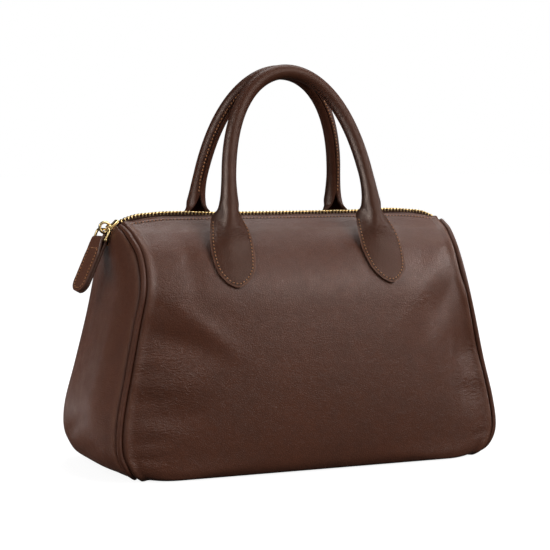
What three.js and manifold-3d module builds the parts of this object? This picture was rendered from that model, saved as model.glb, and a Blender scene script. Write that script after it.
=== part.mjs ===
// A soft leather handbag of the bowling or Boston shape, closed by a zip along its top.
// One leather wrap makes the front, base and back. An arched panel closes each end, and a
// piped seam joins them. Two rolled handles open out into pointed tabs on the front and back.
// Millimetres, +Z up, +X along the bag, -Y towards the front. The origin is the middle of the base.

import * as THREE from "three";
import { mergeVertices } from "three/addons/utils/BufferGeometryUtils.js";
import Module from "manifold-3d";

const wasm = await Module();
wasm.setup();
const { clamp, degToRad, lerp, smoothstep } = THREE.MathUtils;

// Driving dimensions
const LEATHER = 2; // thickness of the body panels
const CLEARANCE = 0.4; // between neighbouring pieces
const PIPING_RADIUS = 2.3;
const SEAM_ROOM = PIPING_RADIUS + 0.6; // from the piping's centre to a panel's cut edge

// Outline of the bag, a row for each level from the zip, down the front and to the middle of the base.
// seam: the piped seam at the end. mid: the wrap's outline halfway along the bag.
// left, right, end: the centre lines of the end panels. flat and power: the share of the length
// over which the wrap keeps its middle outline, and how fast it then turns to the seam's.
const LEVEL_COLUMNS = ["seamX", "seamY", "seamZ", "midY", "midZ", "leftX", "rightX", "endZ", "flat", "power"];
const LEVEL_ROWS = {
  "zip edge": [153.5, 7.2, 206.4, 7.6, 213, 154, 154, 207.8, 0.75, 1.8],
  "ridge": [152, 16, 203.8, 18, 207.2, 157, 158, 204.8, 0.6, 2],
  "upper shoulder": [150.5, 29.6, 197.5, 33, 200.2, 160.5, 162, 198.5, 0.3, 2.4],
  "shoulder": [148, 48, 181.5, 53.5, 183.7, 163.5, 166, 182.5, 0, 3],
  "handle tabs": [149.6, 60, 156.5, 70, 157.5, 165, 167, 157.5, 0, 3],
  "upper wall": [156.2, 62.3, 126.5, 77.5, 126.5, 170.5, 170, 127.5, 0, 3],
  "wall": [164.6, 63.9, 86.5, 83, 86.5, 181, 176, 87.5, 0, 3],
  "belly": [172.4, 67.2, 51, 85.8, 49, 190, 182, 52, 0, 3.2],
  "lower wall": [174.2, 70.2, 25.5, 86, 19, 189.5, 182.5, 28, 0.1, 3],
  "corner": [168.2, 70, 10.5, 83.5, 4.5, 181.5, 176.5, 12, 0.55, 2.4],
  "base edge": [160, 64.5, 3.6, 75.5, 0, 170, 167.5, 5, 0.8, 2],
  "base": [158, 50, 2.45, 50, 0, 160, 159.5, 2.6, 0.85, 2],
  "base middle": [156, 0, 2.45, 0, 0, 156.5, 156.5, 2.45, 0.85, 2],
};
const LEVELS = Object.values(LEVEL_ROWS).map((row) =>
  Object.fromEntries(LEVEL_COLUMNS.map((name, i) => [name, row[i]])),
);
const LAST_LEVEL = LEVELS.length - 1;
const END_ROOM = 3.15; // from the seam to the edge of an end panel
const CORNER_ROOM = { extra: 1.5, from: 8, to: 9.6 }; // more room for the piping at the lower corners
const END_CROWN = { left: 3.8, right: 2.4 }; // how squarely each end panel bulges between its two seams

const WRAP_STEPS = 34;
const WRAP_SHARES = [0.26, 0.52, 0.72, 0.86, 0.95, 1]; // columns of the wrap, of its half length
const END_LEVELS = { top: 0.9, foot: 10.4, steps: 16, columns: 10 };
const END_FOOT_HEIGHT = 1.2; // of an end panel's lower edge, beside the piping under the base
const PIPING_LEVEL = 0.45; // where the piping starts beside the zip
const PIPING_STEPS = 46;

// Soft dents and swells of the front wall: centre, half-widths along X and Z, depth inwards
const FRONT_DENTS = [
  { at: "pucker beside the left tab", x: -107, z: 176, reachX: 9, reachZ: 22, depth: 2.2 },
  { at: "hollow between the handles", x: -4, z: 186, reachX: 34, reachZ: 15, depth: 1.6 },
  { at: "pull at the left seam", x: -134, z: 112, reachX: 22, reachZ: 13, depth: 2 },
  { at: "swell under the pull", x: -128, z: 82, reachX: 24, reachZ: 13, depth: -1.6 },
  { at: "fold low on the left", x: -132, z: 54, reachX: 26, reachZ: 12, depth: 1.6 },
  { at: "hollow beside the right tab", x: 116, z: 150, reachX: 15, reachZ: 26, depth: 1.4 },
  { at: "dent at the right seam", x: 148, z: 96, reachX: 13, reachZ: 18, depth: 2.2 },
  { at: "dent low on the right", x: 150, z: 56, reachX: 14, reachZ: 12, depth: 1.6 },
];

// Zip
const ZIP_PITCH = 3.2;
const TOOTH_WIDTH = 1.2;
const TOOTH_HEAD = 1.2; // how far a tooth reaches past the middle
const TEETH_SPINE = { inner: 1.5, outer: 3.4 };
const SPINE_STRIDE = 4; // teeth to each straight of the spine's outer side
const TEETH_HEIGHT = { low: -1.2, high: 1.8 };
const TEETH_STOP = 6; // from the last tooth to the tape's right end
const TAPE_THICKNESS = 0.8;
// The tape's fall from the zip's middle line: under the wrap's edge, and in the end panels' notch
const TAPE_SECTION = [
  { across: TEETH_SPINE.outer + CLEARANCE, drop: 0.3, endAcross: TEETH_SPINE.outer + CLEARANCE, endDrop: 0.3 },
  { across: 6.4, drop: 5.2, endAcross: 4.5, endDrop: 0.6 },
  { across: 11.5, drop: 7.8, endAcross: 5.2, endDrop: 0.9 },
];
const TAPE_STEPS = { end: 8, endLength: 60, middle: 6 };
const TAPE_NARROWS = { from: 124, to: 141 };
const TAPE_RISES = { from: 140, to: 149 };
const ZIP_LINE = [
  { x: -162.6, z: 190.5 },
  { x: -160.6, z: 195.6 },
  { x: -157.8, z: 200.5 },
  { x: -154.4, z: 204.6 },
  { x: -148.6, z: 209 },
  { x: -139, z: 212.7 },
  { x: -120, z: 215 },
  { x: -60, z: 214.6 },
  { x: 60, z: 214.6 },
  { x: 120, z: 215 },
  { x: 139, z: 212.7 },
  { x: 150, z: 208 },
  { x: 157, z: 203.3 },
  { x: 162.4, z: 197.4 },
  { x: 166, z: 190.5 },
];
const ZIP_SLOT = { halfWidth: 5.6, bottom: 189, length: 80, height: 60 }; // cut out of the end panels

// Slider and pull
const SLIDER = { x: -154.8, length: 13, width: 9.4, plate: 1.3, topFace: 3.4, bottomFace: -4.6 };
const SLIDER_POST = { from: 0.8, to: 4, width: 3.2, overlap: 0.5 }; // joins the two plates at the nose
const LOOP = { radius: 4.4, wire: 1.25, ahead: 5.5, height: 6.2 };
const LINK = { halfWidth: 9, length: 10, wire: 1.1, knuckle: 1.12 };
const PULL_LEAN = degToRad(27); // outwards from straight down
const PULL_TURN = degToRad(16); // towards the front
const TAB = { length: 48, halfWidth: 9.4, topHalfWidth: 7, thickness: 5, shoulder: 14 };
const TAB_FOLD = { leather: 1.9, start: 3, end: 7 }; // round the link's lower bar, below which it closes

// Handles
const ROLL_RADIUS = 6.5;
const STRAP_WIDTH = 39; // the leather that is rolled up
const ARCH = { foot: 213.5, top: 337.5, halfWidth: 65.2, flare: 2.4, power: 2.45 };
const ARCH_DEPTH = { foot: 44.5, top: 7.2, sag: 3.3 };
const HANDLE_SHIFT = 0.7; // the handles sit a little to the right
const ROLL_START = 247; // height where the roll has its full tightness
// The tab, from its point up to where the strap has closed into the roll.
// angle: half of the arc that the whole strap is bent into. ridge: how steeply the sides of the ridge over
// the roll's core stand on top of that. crest: how far to the front the ridge is, off the wall.
const TAB_ROWS = [
  { height: 155.5, width: 3, angle: 3, ridge: 0, x: 71.4, onWall: 1, closed: 0, crest: 0 },
  { height: 158, width: 14, angle: 4, ridge: 0, x: 71.3, onWall: 1, closed: 0, crest: 0 },
  { height: 162, width: 23.5, angle: 5, ridge: 0, x: 71, onWall: 1, closed: 0, crest: 0 },
  { height: 167.5, width: 32, angle: 7, ridge: 0, x: 70.7, onWall: 1, closed: 0, crest: 0 },
  { height: 175.5, width: 37, angle: 11, ridge: 0, x: 70.2, onWall: 1, closed: 0, crest: 0 },
  { height: 187, width: 39.5, angle: 18, ridge: 4, x: 69.7, onWall: 0, closed: 0, crest: 58.2 },
  { height: 196.5, width: 40, angle: 30, ridge: 6, x: 69.2, onWall: 0, closed: 0, crest: 55 },
  { height: 205, width: 40, angle: 46, ridge: 12, x: 68.5, onWall: 0, closed: 0, crest: 52.6 },
  { height: 213, width: 41, angle: 64, ridge: 24, x: 68, onWall: 0, closed: 0, crest: 50.3 },
  { height: 220, width: 43, angle: 88, ridge: 28, x: 67.3, onWall: 0, closed: 0.25, crest: 48.3 },
  { height: 225.5, width: 45, angle: 148, ridge: 0, x: 66.9, onWall: 0, closed: 0.8, crest: 46.7 },
  { height: 232.5, width: 45, angle: 172, ridge: 0, x: 66.4, onWall: 0, closed: 1, crest: 44.9 },
];
const RIDGE = { top: 0.36, foot: 0.68 }; // where its sides are steepest and where they end, of the half width
const CLOSED_ANGLE = 172;
const ROLL_GROOVE = { lip: 0.5, depth: 2.2, narrowing: 0.8 }; // the seam along the roll's inner side
const STRAP_SHARES = [-1, -0.68, -0.42, -0.2, 0, 0.2, 0.42, 0.68, 1]; // columns of the strap, of its half width
const BEND_STEPS = 60; // for adding up the strap's bends
const ARCH_STEPS = 6;

const MATERIALS = {
  body: new THREE.MeshStandardMaterial({ color: 0x55382c, roughness: 0.5, metalness: 0 }),
  handle: new THREE.MeshStandardMaterial({ color: 0x4c332a, roughness: 0.48, metalness: 0 }),
  tape: new THREE.MeshStandardMaterial({ color: 0x4a3a38, roughness: 0.85, metalness: 0 }),
  brass: new THREE.MeshStandardMaterial({ color: 0xc9a24f, roughness: 0.25, metalness: 1 }),
};

// Curves through the columns of the outline table
const curveOf = (...columns) =>
  new THREE.CatmullRomCurve3(
    LEVELS.map((row) => new THREE.Vector3(...columns.map((name) => row[name] ?? 0))),
    false,
    "catmullrom",
  );
const seamCurve = curveOf("seamX", "seamY", "seamZ");
const middleCurve = curveOf("none", "midY", "midZ");
const leftCurve = curveOf("leftX", "none", "endZ");
const rightCurve = curveOf("rightX", "none", "endZ");
const shapeCurve = curveOf("flat", "power");
const atLevel = (curve, level) => curve.getPoint(level / LAST_LEVEL);

// How far the front wall is pushed in at a place
function dentDepth(x, z) {
  return FRONT_DENTS.reduce((sum, dent) => {
    const along = ((x - dent.x) / dent.reachX) ** 2 + ((z - dent.z) / dent.reachZ) ** 2;
    return sum + dent.depth * Math.exp(-along);
  }, 0);
}

// A point of the wrap's outer face. Levels past the middle of the base climb the back.
function wrapPoint(level, x) {
  const isBack = level > LAST_LEVEL;
  const row = isBack ? 2 * LAST_LEVEL - level : level;
  const seam = atLevel(seamCurve, row);
  const middle = atLevel(middleCurve, row);
  const shape = atLevel(shapeCurve, row);
  const share = Math.abs(x) / seam.x;
  const turn = Math.max(0, (share - shape.x) / (1 - shape.x)) ** shape.y;
  const z = Math.max(0, lerp(middle.z, seam.z, turn));
  const depth = Math.max(0, lerp(middle.y, seam.y, turn));
  return isBack ? new THREE.Vector3(x, depth, z) : new THREE.Vector3(x, -depth + dentDepth(x, z), z);
}

// The unit normal of a surface that is given as a function of two numbers
function normalOf(surface, u, v, step = 0.02) {
  const du = surface(u + step, v).sub(surface(u - step, v));
  const dv = surface(u, v + step).sub(surface(u, v - step));
  return du.cross(dv).normalize();
}

function wrapNormal(level, x) {
  const inside = clamp(level, 0.03, 2 * LAST_LEVEL - 0.03);
  return normalOf(wrapPoint, inside, x);
}

// The level at which the front wall has a given height
function levelAtHeight(height, x) {
  let low = 0;
  let high = LAST_LEVEL;
  for (let i = 0; i < 40; i++) {
    const middle = (low + high) / 2;
    if (wrapPoint(middle, x).z > height) low = middle;
    else high = middle;
  }
  return low;
}

// A point of an end panel's outer face: level runs down the seam, across from -1 at the front seam to 1
function endPoint(side, level, across) {
  const seam = atLevel(seamCurve, level);
  const end = atLevel(side < 0 ? leftCurve : rightCurve, level);
  const bulge = 1 - Math.abs(across) ** (side < 0 ? END_CROWN.left : END_CROWN.right);
  return new THREE.Vector3(side * lerp(seam.x, end.x, bulge), across * seam.y, lerp(seam.z, end.z, bulge));
}

// A closed solid between two grids of points: the faces, and a strip round their edges
function sheetSolid(outer, inner) {
  const rows = outer.length;
  const columns = outer[0].length;
  const positions = [...outer.flat(), ...inner.flat()].flatMap((p) => [p.x, p.y, p.z]);
  const index = [];
  const at = (layer, i, j) => layer * rows * columns + i * columns + j;
  const quad = (a, b, c, d) => index.push(a, b, c, a, c, d);
  for (let i = 0; i + 1 < rows; i++) {
    for (let j = 0; j + 1 < columns; j++) {
      quad(at(0, i, j), at(0, i, j + 1), at(0, i + 1, j + 1), at(0, i + 1, j));
      quad(at(1, i, j), at(1, i + 1, j), at(1, i + 1, j + 1), at(1, i, j + 1));
    }
    quad(at(0, i, 0), at(0, i + 1, 0), at(1, i + 1, 0), at(1, i, 0));
    quad(at(0, i + 1, columns - 1), at(0, i, columns - 1), at(1, i, columns - 1), at(1, i + 1, columns - 1));
  }
  for (let j = 0; j + 1 < columns; j++) {
    quad(at(0, 0, j + 1), at(0, 0, j), at(1, 0, j), at(1, 0, j + 1));
    quad(at(0, rows - 1, j), at(0, rows - 1, j + 1), at(1, rows - 1, j + 1), at(1, rows - 1, j));
  }
  return facingOut(positions, index);
}

// Geometry with its triangles turned so that its volume is positive
function facingOut(positions, index) {
  const point = (i) => new THREE.Vector3().fromArray(positions, 3 * i);
  let volume = 0;
  for (let i = 0; i < index.length; i += 3) {
    volume += point(index[i]).dot(point(index[i + 1]).cross(point(index[i + 2])));
  }
  if (volume < 0) index.reverse();
  const geometry = new THREE.BufferGeometry();
  geometry.setAttribute("position", new THREE.Float32BufferAttribute(positions, 3));
  geometry.setIndex(index);
  return geometry;
}

function toManifold(geometry) {
  const bare = geometry.clone();
  bare.deleteAttribute("normal");
  bare.deleteAttribute("uv");
  const merged = mergeVertices(bare, 1e-4);
  const vertProperties = new Float32Array(merged.attributes.position.array);
  const triVerts = new Uint32Array(merged.index.array);
  return new wasm.Manifold(new wasm.Mesh({ numProp: 3, vertProperties, triVerts }));
}

function toGeometry(solid) {
  const mesh = solid.getMesh();
  const geometry = new THREE.BufferGeometry();
  geometry.setAttribute("position", new THREE.BufferAttribute(new Float32Array(mesh.vertProperties), 3));
  geometry.setIndex(new THREE.BufferAttribute(new Uint32Array(mesh.triVerts), 1));
  return geometry;
}

const joined = (geometries) => toGeometry(geometries.map(toManifold).reduce((a, b) => a.add(b)));

const range = (count) => Array.from({ length: count }, (_, i) => i);
const spread = (from, to, steps) => range(steps + 1).map((i) => lerp(from, to, i / steps));

function mesh(name, geometry, material) {
  const made = new THREE.Mesh(geometry, material);
  made.name = name;
  return made;
}

// The wrap: front, base and back in one piece of leather
function bodyWrap() {
  const levels = spread(0, 2 * LAST_LEVEL, WRAP_STEPS);
  const shares = [...WRAP_SHARES.toReversed().map((share) => -share), 0, ...WRAP_SHARES];
  const outer = levels.map((level) => {
    const row = Math.min(level, 2 * LAST_LEVEL - level);
    const low = smoothstep(row, CORNER_ROOM.from, CORNER_ROOM.to);
    const reach = atLevel(seamCurve, row).x - SEAM_ROOM - CORNER_ROOM.extra * low;
    return shares.map((share) => wrapPoint(level, share * reach));
  });
  const inner = outer.map((row, i) =>
    row.map((point) => point.clone().addScaledVector(wrapNormal(levels[i], point.x), -LEATHER)),
  );
  return mesh("body_wrap", sheetSolid(outer, inner), MATERIALS.body);
}

// The seam's place beside the base at a depth from the middle
function seamAtDepth(depth) {
  let low = END_LEVELS.foot - 1;
  let high = LAST_LEVEL;
  for (let i = 0; i < 40; i++) {
    const middle = (low + high) / 2;
    if (atLevel(seamCurve, middle).y > depth) low = middle;
    else high = middle;
  }
  return atLevel(seamCurve, low);
}

// An end panel, notched at its top for the zip and turned in under the bag to the piping
function endPanel(side, name) {
  const levels = spread(END_LEVELS.top, END_LEVELS.foot, END_LEVELS.steps);
  const shares = spread(-1, 1, END_LEVELS.columns);
  const surface = (level, across) => endPoint(side, level, across);
  const outer = levels.map((level) => {
    const edge = surface(level, 1).sub(surface(level, 0.9)).multiplyScalar(10);
    const seam = surface(level + 0.1, 1).sub(surface(level - 0.1, 1)).normalize();
    const low = smoothstep(level, CORNER_ROOM.from, CORNER_ROOM.to);
    const room = END_ROOM + CORNER_ROOM.extra * low;
    const reach = 1 - room / edge.clone().cross(seam).length();
    return shares.map((share) => surface(level, share * reach));
  });
  const inner = outer.map((row, i) =>
    row.map((point) => {
      const across = point.y / atLevel(seamCurve, levels[i]).y;
      const normal = normalOf(surface, levels[i], across);
      return point.clone().addScaledVector(normal, -Math.sign(normal.x * side) * LEATHER);
    }),
  );
  const foot = outer.at(-1).map(({ y }) => {
    const seam = seamAtDepth(Math.abs(y));
    return new THREE.Vector3(side * (seam.x + SEAM_ROOM + CLEARANCE), y, END_FOOT_HEIGHT);
  });
  outer.push(foot);
  inner.push(foot.map((point) => point.clone().setZ(point.z + LEATHER)));
  const slot = new THREE.BoxGeometry(ZIP_SLOT.length, 2 * ZIP_SLOT.halfWidth, ZIP_SLOT.height);
  slot.translate(-side * ZIP_LINE[0].x, 0, ZIP_SLOT.bottom + ZIP_SLOT.height / 2);
  const panel = toManifold(sheetSolid(outer, inner)).subtract(toManifold(slot));
  return mesh(name, toGeometry(panel), MATERIALS.body);
}

// The piping of one end, from beside the zip, down the front, under the base and up the back
function piping(side, name) {
  const levels = spread(PIPING_LEVEL, 2 * LAST_LEVEL - PIPING_LEVEL, PIPING_STEPS);
  const points = levels.map((level) => {
    const isBack = level > LAST_LEVEL;
    const seam = atLevel(seamCurve, isBack ? 2 * LAST_LEVEL - level : level);
    return new THREE.Vector3(side * seam.x, isBack ? seam.y : -seam.y, seam.z);
  });
  const round = new THREE.Shape().absarc(0, 0, PIPING_RADIUS, 0, 2 * Math.PI);
  const extrudePath = new THREE.CatmullRomCurve3(points);
  const tube = new THREE.ExtrudeGeometry(round, { steps: PIPING_STEPS, curveSegments: 3, extrudePath });
  return mesh(name, tube, MATERIALS.body);
}

// The zip's line over the top, from the left end to the right, with the frame at each place
const zipCurve = new THREE.CatmullRomCurve3(
  ZIP_LINE.map((p) => new THREE.Vector3(p.x, 0, p.z)),
  false,
  "centripetal",
);
zipCurve.arcLengthDivisions = 800;
const zipLength = zipCurve.getLength();

function zipFrame(distance) {
  const at = clamp(distance / zipLength, 0, 1);
  const tangent = zipCurve.getTangentAt(at);
  return { point: zipCurve.getPointAt(at), tangent, up: new THREE.Vector3(-tangent.z, 0, tangent.x) };
}

function zipDistanceAt(x) {
  let low = 0;
  let high = zipLength;
  for (let i = 0; i < 40; i++) {
    const middle = (low + high) / 2;
    if (zipFrame(middle).point.x < x) low = middle;
    else high = middle;
  }
  return low;
}

function zipPoint(distance, across, height) {
  const { point, up } = zipFrame(distance);
  return point.clone().addScaledVector(up, height).setY(across);
}

// One side of the zip's tape, tucked under the wrap's edge and narrow where it passes the seams
function zipTape(side, name) {
  const { end, endLength, middle } = TAPE_STEPS;
  const stations = [
    ...spread(0, endLength, end),
    ...spread(endLength, zipLength - endLength, middle).slice(1, -1),
    ...spread(zipLength - endLength, zipLength, end),
  ];
  const section = (lift) =>
    stations.map((distance) => {
      const x = Math.abs(zipFrame(distance).point.x);
      const narrow = smoothstep(x, TAPE_NARROWS.from, TAPE_NARROWS.to);
      const rise = smoothstep(x, TAPE_RISES.from, TAPE_RISES.to);
      return TAPE_SECTION.map((row) => {
        const across = lerp(row.across, row.endAcross, narrow);
        return zipPoint(distance, side * across, lift - lerp(row.drop, row.endDrop, rise));
      });
    });
  return mesh(name, sheetSolid(section(0), section(-TAPE_THICKNESS)), MATERIALS.tape);
}

// One row of teeth on its spine, a comb that is bent along the zip's line
function zipTeeth(side, name) {
  const start = zipDistanceAt(SLIDER.x) + SLIDER.length / 2 + CLEARANCE;
  const count = Math.floor((zipLength - TEETH_STOP - start) / ZIP_PITCH);
  const first = start + (side > 0 ? ZIP_PITCH / 2 : 0);
  const heights = [TEETH_HEIGHT.low, TEETH_HEIGHT.high];
  const positions = [];
  const index = [];
  const add = (distance, across, layer) => {
    const p = zipPoint(distance, side * across, heights[layer]);
    positions.push(p.x, p.y, p.z);
    return positions.length / 3 - 1;
  };
  const pair = (distance, across) => [add(distance, across, 0), add(distance, across, 1)];
  const teeth = range(count).map((i) => {
    const from = first + i * ZIP_PITCH;
    const to = from + TOOTH_WIDTH;
    return {
      rootFrom: pair(from, TEETH_SPINE.inner),
      rootTo: pair(to, TEETH_SPINE.inner),
      headFrom: pair(from, -TOOTH_HEAD),
      headTo: pair(to, -TOOTH_HEAD),
    };
  });
  const backs = range(Math.ceil(count / SPINE_STRIDE)).map((i) =>
    pair(first + i * SPINE_STRIDE * ZIP_PITCH, TEETH_SPINE.outer),
  );
  const backOf = (i) => backs[Math.floor(i / SPINE_STRIDE)];
  const lastBack = backs.at(-1);
  const lastTooth = teeth.at(-1);
  const endBack = pair(first + (count - 1) * ZIP_PITCH + TOOTH_WIDTH, TEETH_SPINE.outer);
  const face = (a, b, c) => index.push(a[0], c[0], b[0], a[1], b[1], c[1]);
  const wall = (a, b) => index.push(a[0], b[0], b[1], a[0], b[1], a[1]);
  teeth.forEach((tooth, i) => {
    face(tooth.rootFrom, tooth.rootTo, tooth.headTo);
    face(tooth.rootFrom, tooth.headTo, tooth.headFrom);
    face(backOf(i), tooth.rootTo, tooth.rootFrom);
    wall(tooth.headFrom, tooth.rootFrom);
    wall(tooth.headTo, tooth.headFrom);
    wall(tooth.rootTo, tooth.headTo);
    if (tooth === lastTooth) return;
    const next = teeth[i + 1];
    face(backOf(i), next.rootFrom, tooth.rootTo);
    wall(next.rootFrom, tooth.rootTo);
    if (backOf(i) === backOf(i + 1)) return;
    face(backOf(i), backOf(i + 1), next.rootFrom);
    wall(backOf(i), backOf(i + 1));
  });
  face(lastBack, endBack, lastTooth.rootTo);
  wall(lastBack, endBack);
  wall(teeth[0].rootFrom, backs[0]);
  wall(endBack, lastTooth.rootTo);
  return mesh(name, facingOut(positions, index), MATERIALS.brass);
}

// The slider sits on the slope at the zip's left end. Its own X runs down the slope, its Z off the tape.
const sliderFrame = zipFrame(zipDistanceAt(SLIDER.x));
const sliderTurn = Math.atan2(sliderFrame.tangent.z, sliderFrame.tangent.x);

function sliderGroup() {
  const box = (x0, x1, width, z0, z1) =>
    new THREE.BoxGeometry(x1 - x0, width, z1 - z0).translate((x0 + x1) / 2, 0, (z0 + z1) / 2);
  const { length, width, plate, topFace, bottomFace } = SLIDER;
  const post = SLIDER_POST;
  const half = length / 2;
  const loop = new THREE.TorusGeometry(LOOP.radius, LOOP.wire, 6, 14);
  loop.rotateX(Math.PI / 2).translate(-LOOP.ahead, 0, LOOP.height);
  const body = joined([
    box(-half, half, width, topFace - plate, topFace),
    box(-half, half, width, bottomFace, bottomFace + plate),
    box(post.from - half, post.to - half, post.width, bottomFace + post.overlap, topFace - post.overlap),
    loop,
  ]);
  const group = new THREE.Group();
  group.position.copy(sliderFrame.point);
  group.rotation.y = -sliderTurn;
  group.add(mesh("zip_slider", body, MATERIALS.brass));
  return group;
}

// The pull: a wire link through the slider's loop, and a folded leather tab on the link.
// Its own -Z runs down the tab, and its origin is the link's top bar, which it swings on.
function pullGroup() {
  const hole = new THREE.Vector3(-LOOP.ahead, 0, LOOP.height);
  hole.applyAxisAngle(new THREE.Vector3(0, 1, 0), -sliderTurn);
  const hang = new THREE.Vector3(-Math.sin(PULL_LEAN), 0, -Math.cos(PULL_LEAN));
  const play = LOOP.radius - LOOP.wire - LINK.wire - CLEARANCE;
  const group = new THREE.Group();
  group.position.copy(sliderFrame.point).add(hole).addScaledVector(hang, play);
  group.rotation.set(0, PULL_LEAN, PULL_TURN, "ZYX");
  group.add(mesh("pull_link", linkGeometry(), MATERIALS.brass));
  group.add(mesh("pull_tab", tabGeometry(), MATERIALS.handle));
  return group;
}

function linkGeometry() {
  const { halfWidth, length, wire } = LINK;
  const corners = [
    [-halfWidth, 0],
    [halfWidth, 0],
    [halfWidth, -length],
    [-halfWidth, -length],
  ].map(([y, z]) => new THREE.Vector3(0, y, z));
  const pieces = corners.flatMap((corner, i) => {
    const next = corners[(i + 1) % corners.length];
    const bar = new THREE.ExtrudeGeometry(new THREE.Shape().absarc(0, 0, wire, 0, 2 * Math.PI), {
      steps: 1,
      curveSegments: 4,
      extrudePath: new THREE.LineCurve3(corner, next),
    });
    const knuckle = new THREE.SphereGeometry(wire * LINK.knuckle, 8, 4).translate(...corner);
    return [bar, knuckle];
  });
  return joined(pieces);
}

function tabGeometry() {
  const bar = -LINK.length;
  const end = bar - TAB.length + TAB.halfWidth;
  const outline = new THREE.Shape();
  outline.moveTo(-TAB.topHalfWidth, bar - TAB_FOLD.start);
  outline.lineTo(-TAB.halfWidth, bar - TAB.shoulder);
  outline.lineTo(-TAB.halfWidth, end);
  outline.absarc(0, end, TAB.halfWidth, Math.PI, 2 * Math.PI, false);
  outline.lineTo(TAB.halfWidth, bar - TAB.shoulder);
  outline.lineTo(TAB.topHalfWidth, bar - TAB_FOLD.start);
  const layers = { depth: TAB.thickness, bevelEnabled: false, curveSegments: 8 };
  const flat = new THREE.ExtrudeGeometry(outline, layers).translate(0, 0, -TAB.thickness / 2);
  flat.rotateX(Math.PI / 2).rotateZ(Math.PI / 2);
  const bore = LINK.wire + CLEARANCE;
  const fold = new THREE.Shape();
  fold.absarc(0, bar, bore + TAB_FOLD.leather, 0, Math.PI, false);
  fold.lineTo(-TAB.thickness / 2, bar - TAB_FOLD.end);
  fold.lineTo(TAB.thickness / 2, bar - TAB_FOLD.end);
  fold.holes.push(new THREE.Path().absarc(0, bar, bore, 0, 2 * Math.PI, true));
  const width = { depth: 2 * TAB.topHalfWidth, bevelEnabled: false, curveSegments: 6 };
  const loop = new THREE.ExtrudeGeometry(fold, width).translate(0, 0, -TAB.topHalfWidth);
  loop.rotateX(Math.PI / 2);
  return joined([flat, loop]);
}

// Handles
const archLean = Math.atan2(ARCH_DEPTH.foot - ARCH_DEPTH.top, ARCH.top - ARCH.foot);
const archNormal = new THREE.Vector3(0, -Math.cos(archLean), Math.sin(archLean));

// The roll's centre on the right half of the front arch, with 0 at its foot and 1 at its top
function archPoint(rise) {
  const x = ARCH.halfWidth * Math.sqrt(Math.max(0, 1 - rise ** ARCH.power)) + ARCH.flare * (1 - rise) ** 3;
  const depth = lerp(ARCH_DEPTH.foot, ARCH_DEPTH.top, rise) - ARCH_DEPTH.sag * rise * (1 - rise);
  return new THREE.Vector3(x, -depth, lerp(ARCH.foot, ARCH.top, rise));
}

// The strap's bend at a share of its half width, from its crest to an edge
function strapBend(share, angle, ridge) {
  const side = share < RIDGE.top ? share / RIDGE.top : 1 - smoothstep(share, RIDGE.top, RIDGE.foot);
  return degToRad(angle * share + ridge * side);
}

// Half of the strap's outer line, as the place sideways, the fall from the crest and the bend at each share
function strapLine(width, angle, ridge) {
  const step = 1 / BEND_STEPS;
  let sideways = 0;
  let fall = 0;
  const line = [{ sideways, fall, bend: 0 }];
  range(BEND_STEPS).forEach((i) => {
    const middle = strapBend((i + 0.5) * step, angle, ridge);
    sideways += Math.cos(middle) * step * (width / 2);
    fall += Math.sin(middle) * step * (width / 2);
    line.push({ sideways, fall, bend: strapBend((i + 1) * step, angle, ridge) });
  });
  return line;
}

// One section of the strap: the outer and inner points of the bent leather.
// base(sideways) is the line that the strap's edges lie on, normal points away from the bag.
function strapSection({ width, angle, ridge, closed, base, normal }) {
  const line = strapLine(width, angle, ridge);
  const { sideways: slit, fall: height } = line.at(-1);
  const seat = LEATHER * (1 - closed);
  const outer = [];
  const inner = [];
  STRAP_SHARES.forEach((share) => {
    const { sideways, fall, bend } = line[Math.round(Math.abs(share) * BEND_STEPS)];
    const side = Math.sign(share);
    const lift = seat + height - fall;
    outer.push(base(side * sideways).addScaledVector(normal, lift));
    const under = lift - LEATHER * Math.cos(bend);
    const trough = base(side * (sideways - LEATHER * Math.sin(bend))).addScaledVector(normal, under);
    const deep = ROLL_GROOVE.lip + ROLL_GROOVE.depth * (1 - Math.abs(share));
    const groove = base(ROLL_GROOVE.narrowing * slit * share).addScaledVector(normal, deep);
    inner.push(trough.lerp(groove, closed));
  });
  return { outer, inner };
}

function tabSection(row) {
  const level = levelAtHeight(row.height, row.x);
  const wallNormal = wrapNormal(level, row.x);
  const normal = archNormal.clone().lerp(wallNormal, row.onWall).normalize();
  const lift = strapLine(row.width, row.angle, row.ridge).at(-1).fall + LEATHER * (1 - row.closed);
  const free = new THREE.Vector3(row.x, -row.crest, row.height).addScaledVector(normal, -lift);
  const base = (sideways) => {
    const onWall = wrapPoint(level, row.x + sideways).addScaledVector(wallNormal, CLEARANCE);
    return free.clone().setX(row.x + sideways).lerp(onWall, row.onWall);
  };
  return strapSection({ ...row, base, normal });
}

function archSection(rise) {
  const centre = archPoint(rise);
  const ahead = archPoint(Math.min(rise + 1e-3, 1));
  const behind = archPoint(Math.max(rise - 1e-3, 0));
  const tangent = rise > 0.999 ? new THREE.Vector3(-1, 0, 0) : ahead.sub(behind).normalize();
  const sidewards = tangent.cross(archNormal).normalize();
  const seamLine = centre.addScaledVector(archNormal, -ROLL_RADIUS);
  const base = (sideways) => seamLine.clone().addScaledVector(sidewards, sideways);
  const roll = { width: STRAP_WIDTH, angle: CLOSED_ANGLE, ridge: 0, closed: 1 };
  return strapSection({ ...roll, base, normal: archNormal });
}

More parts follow.
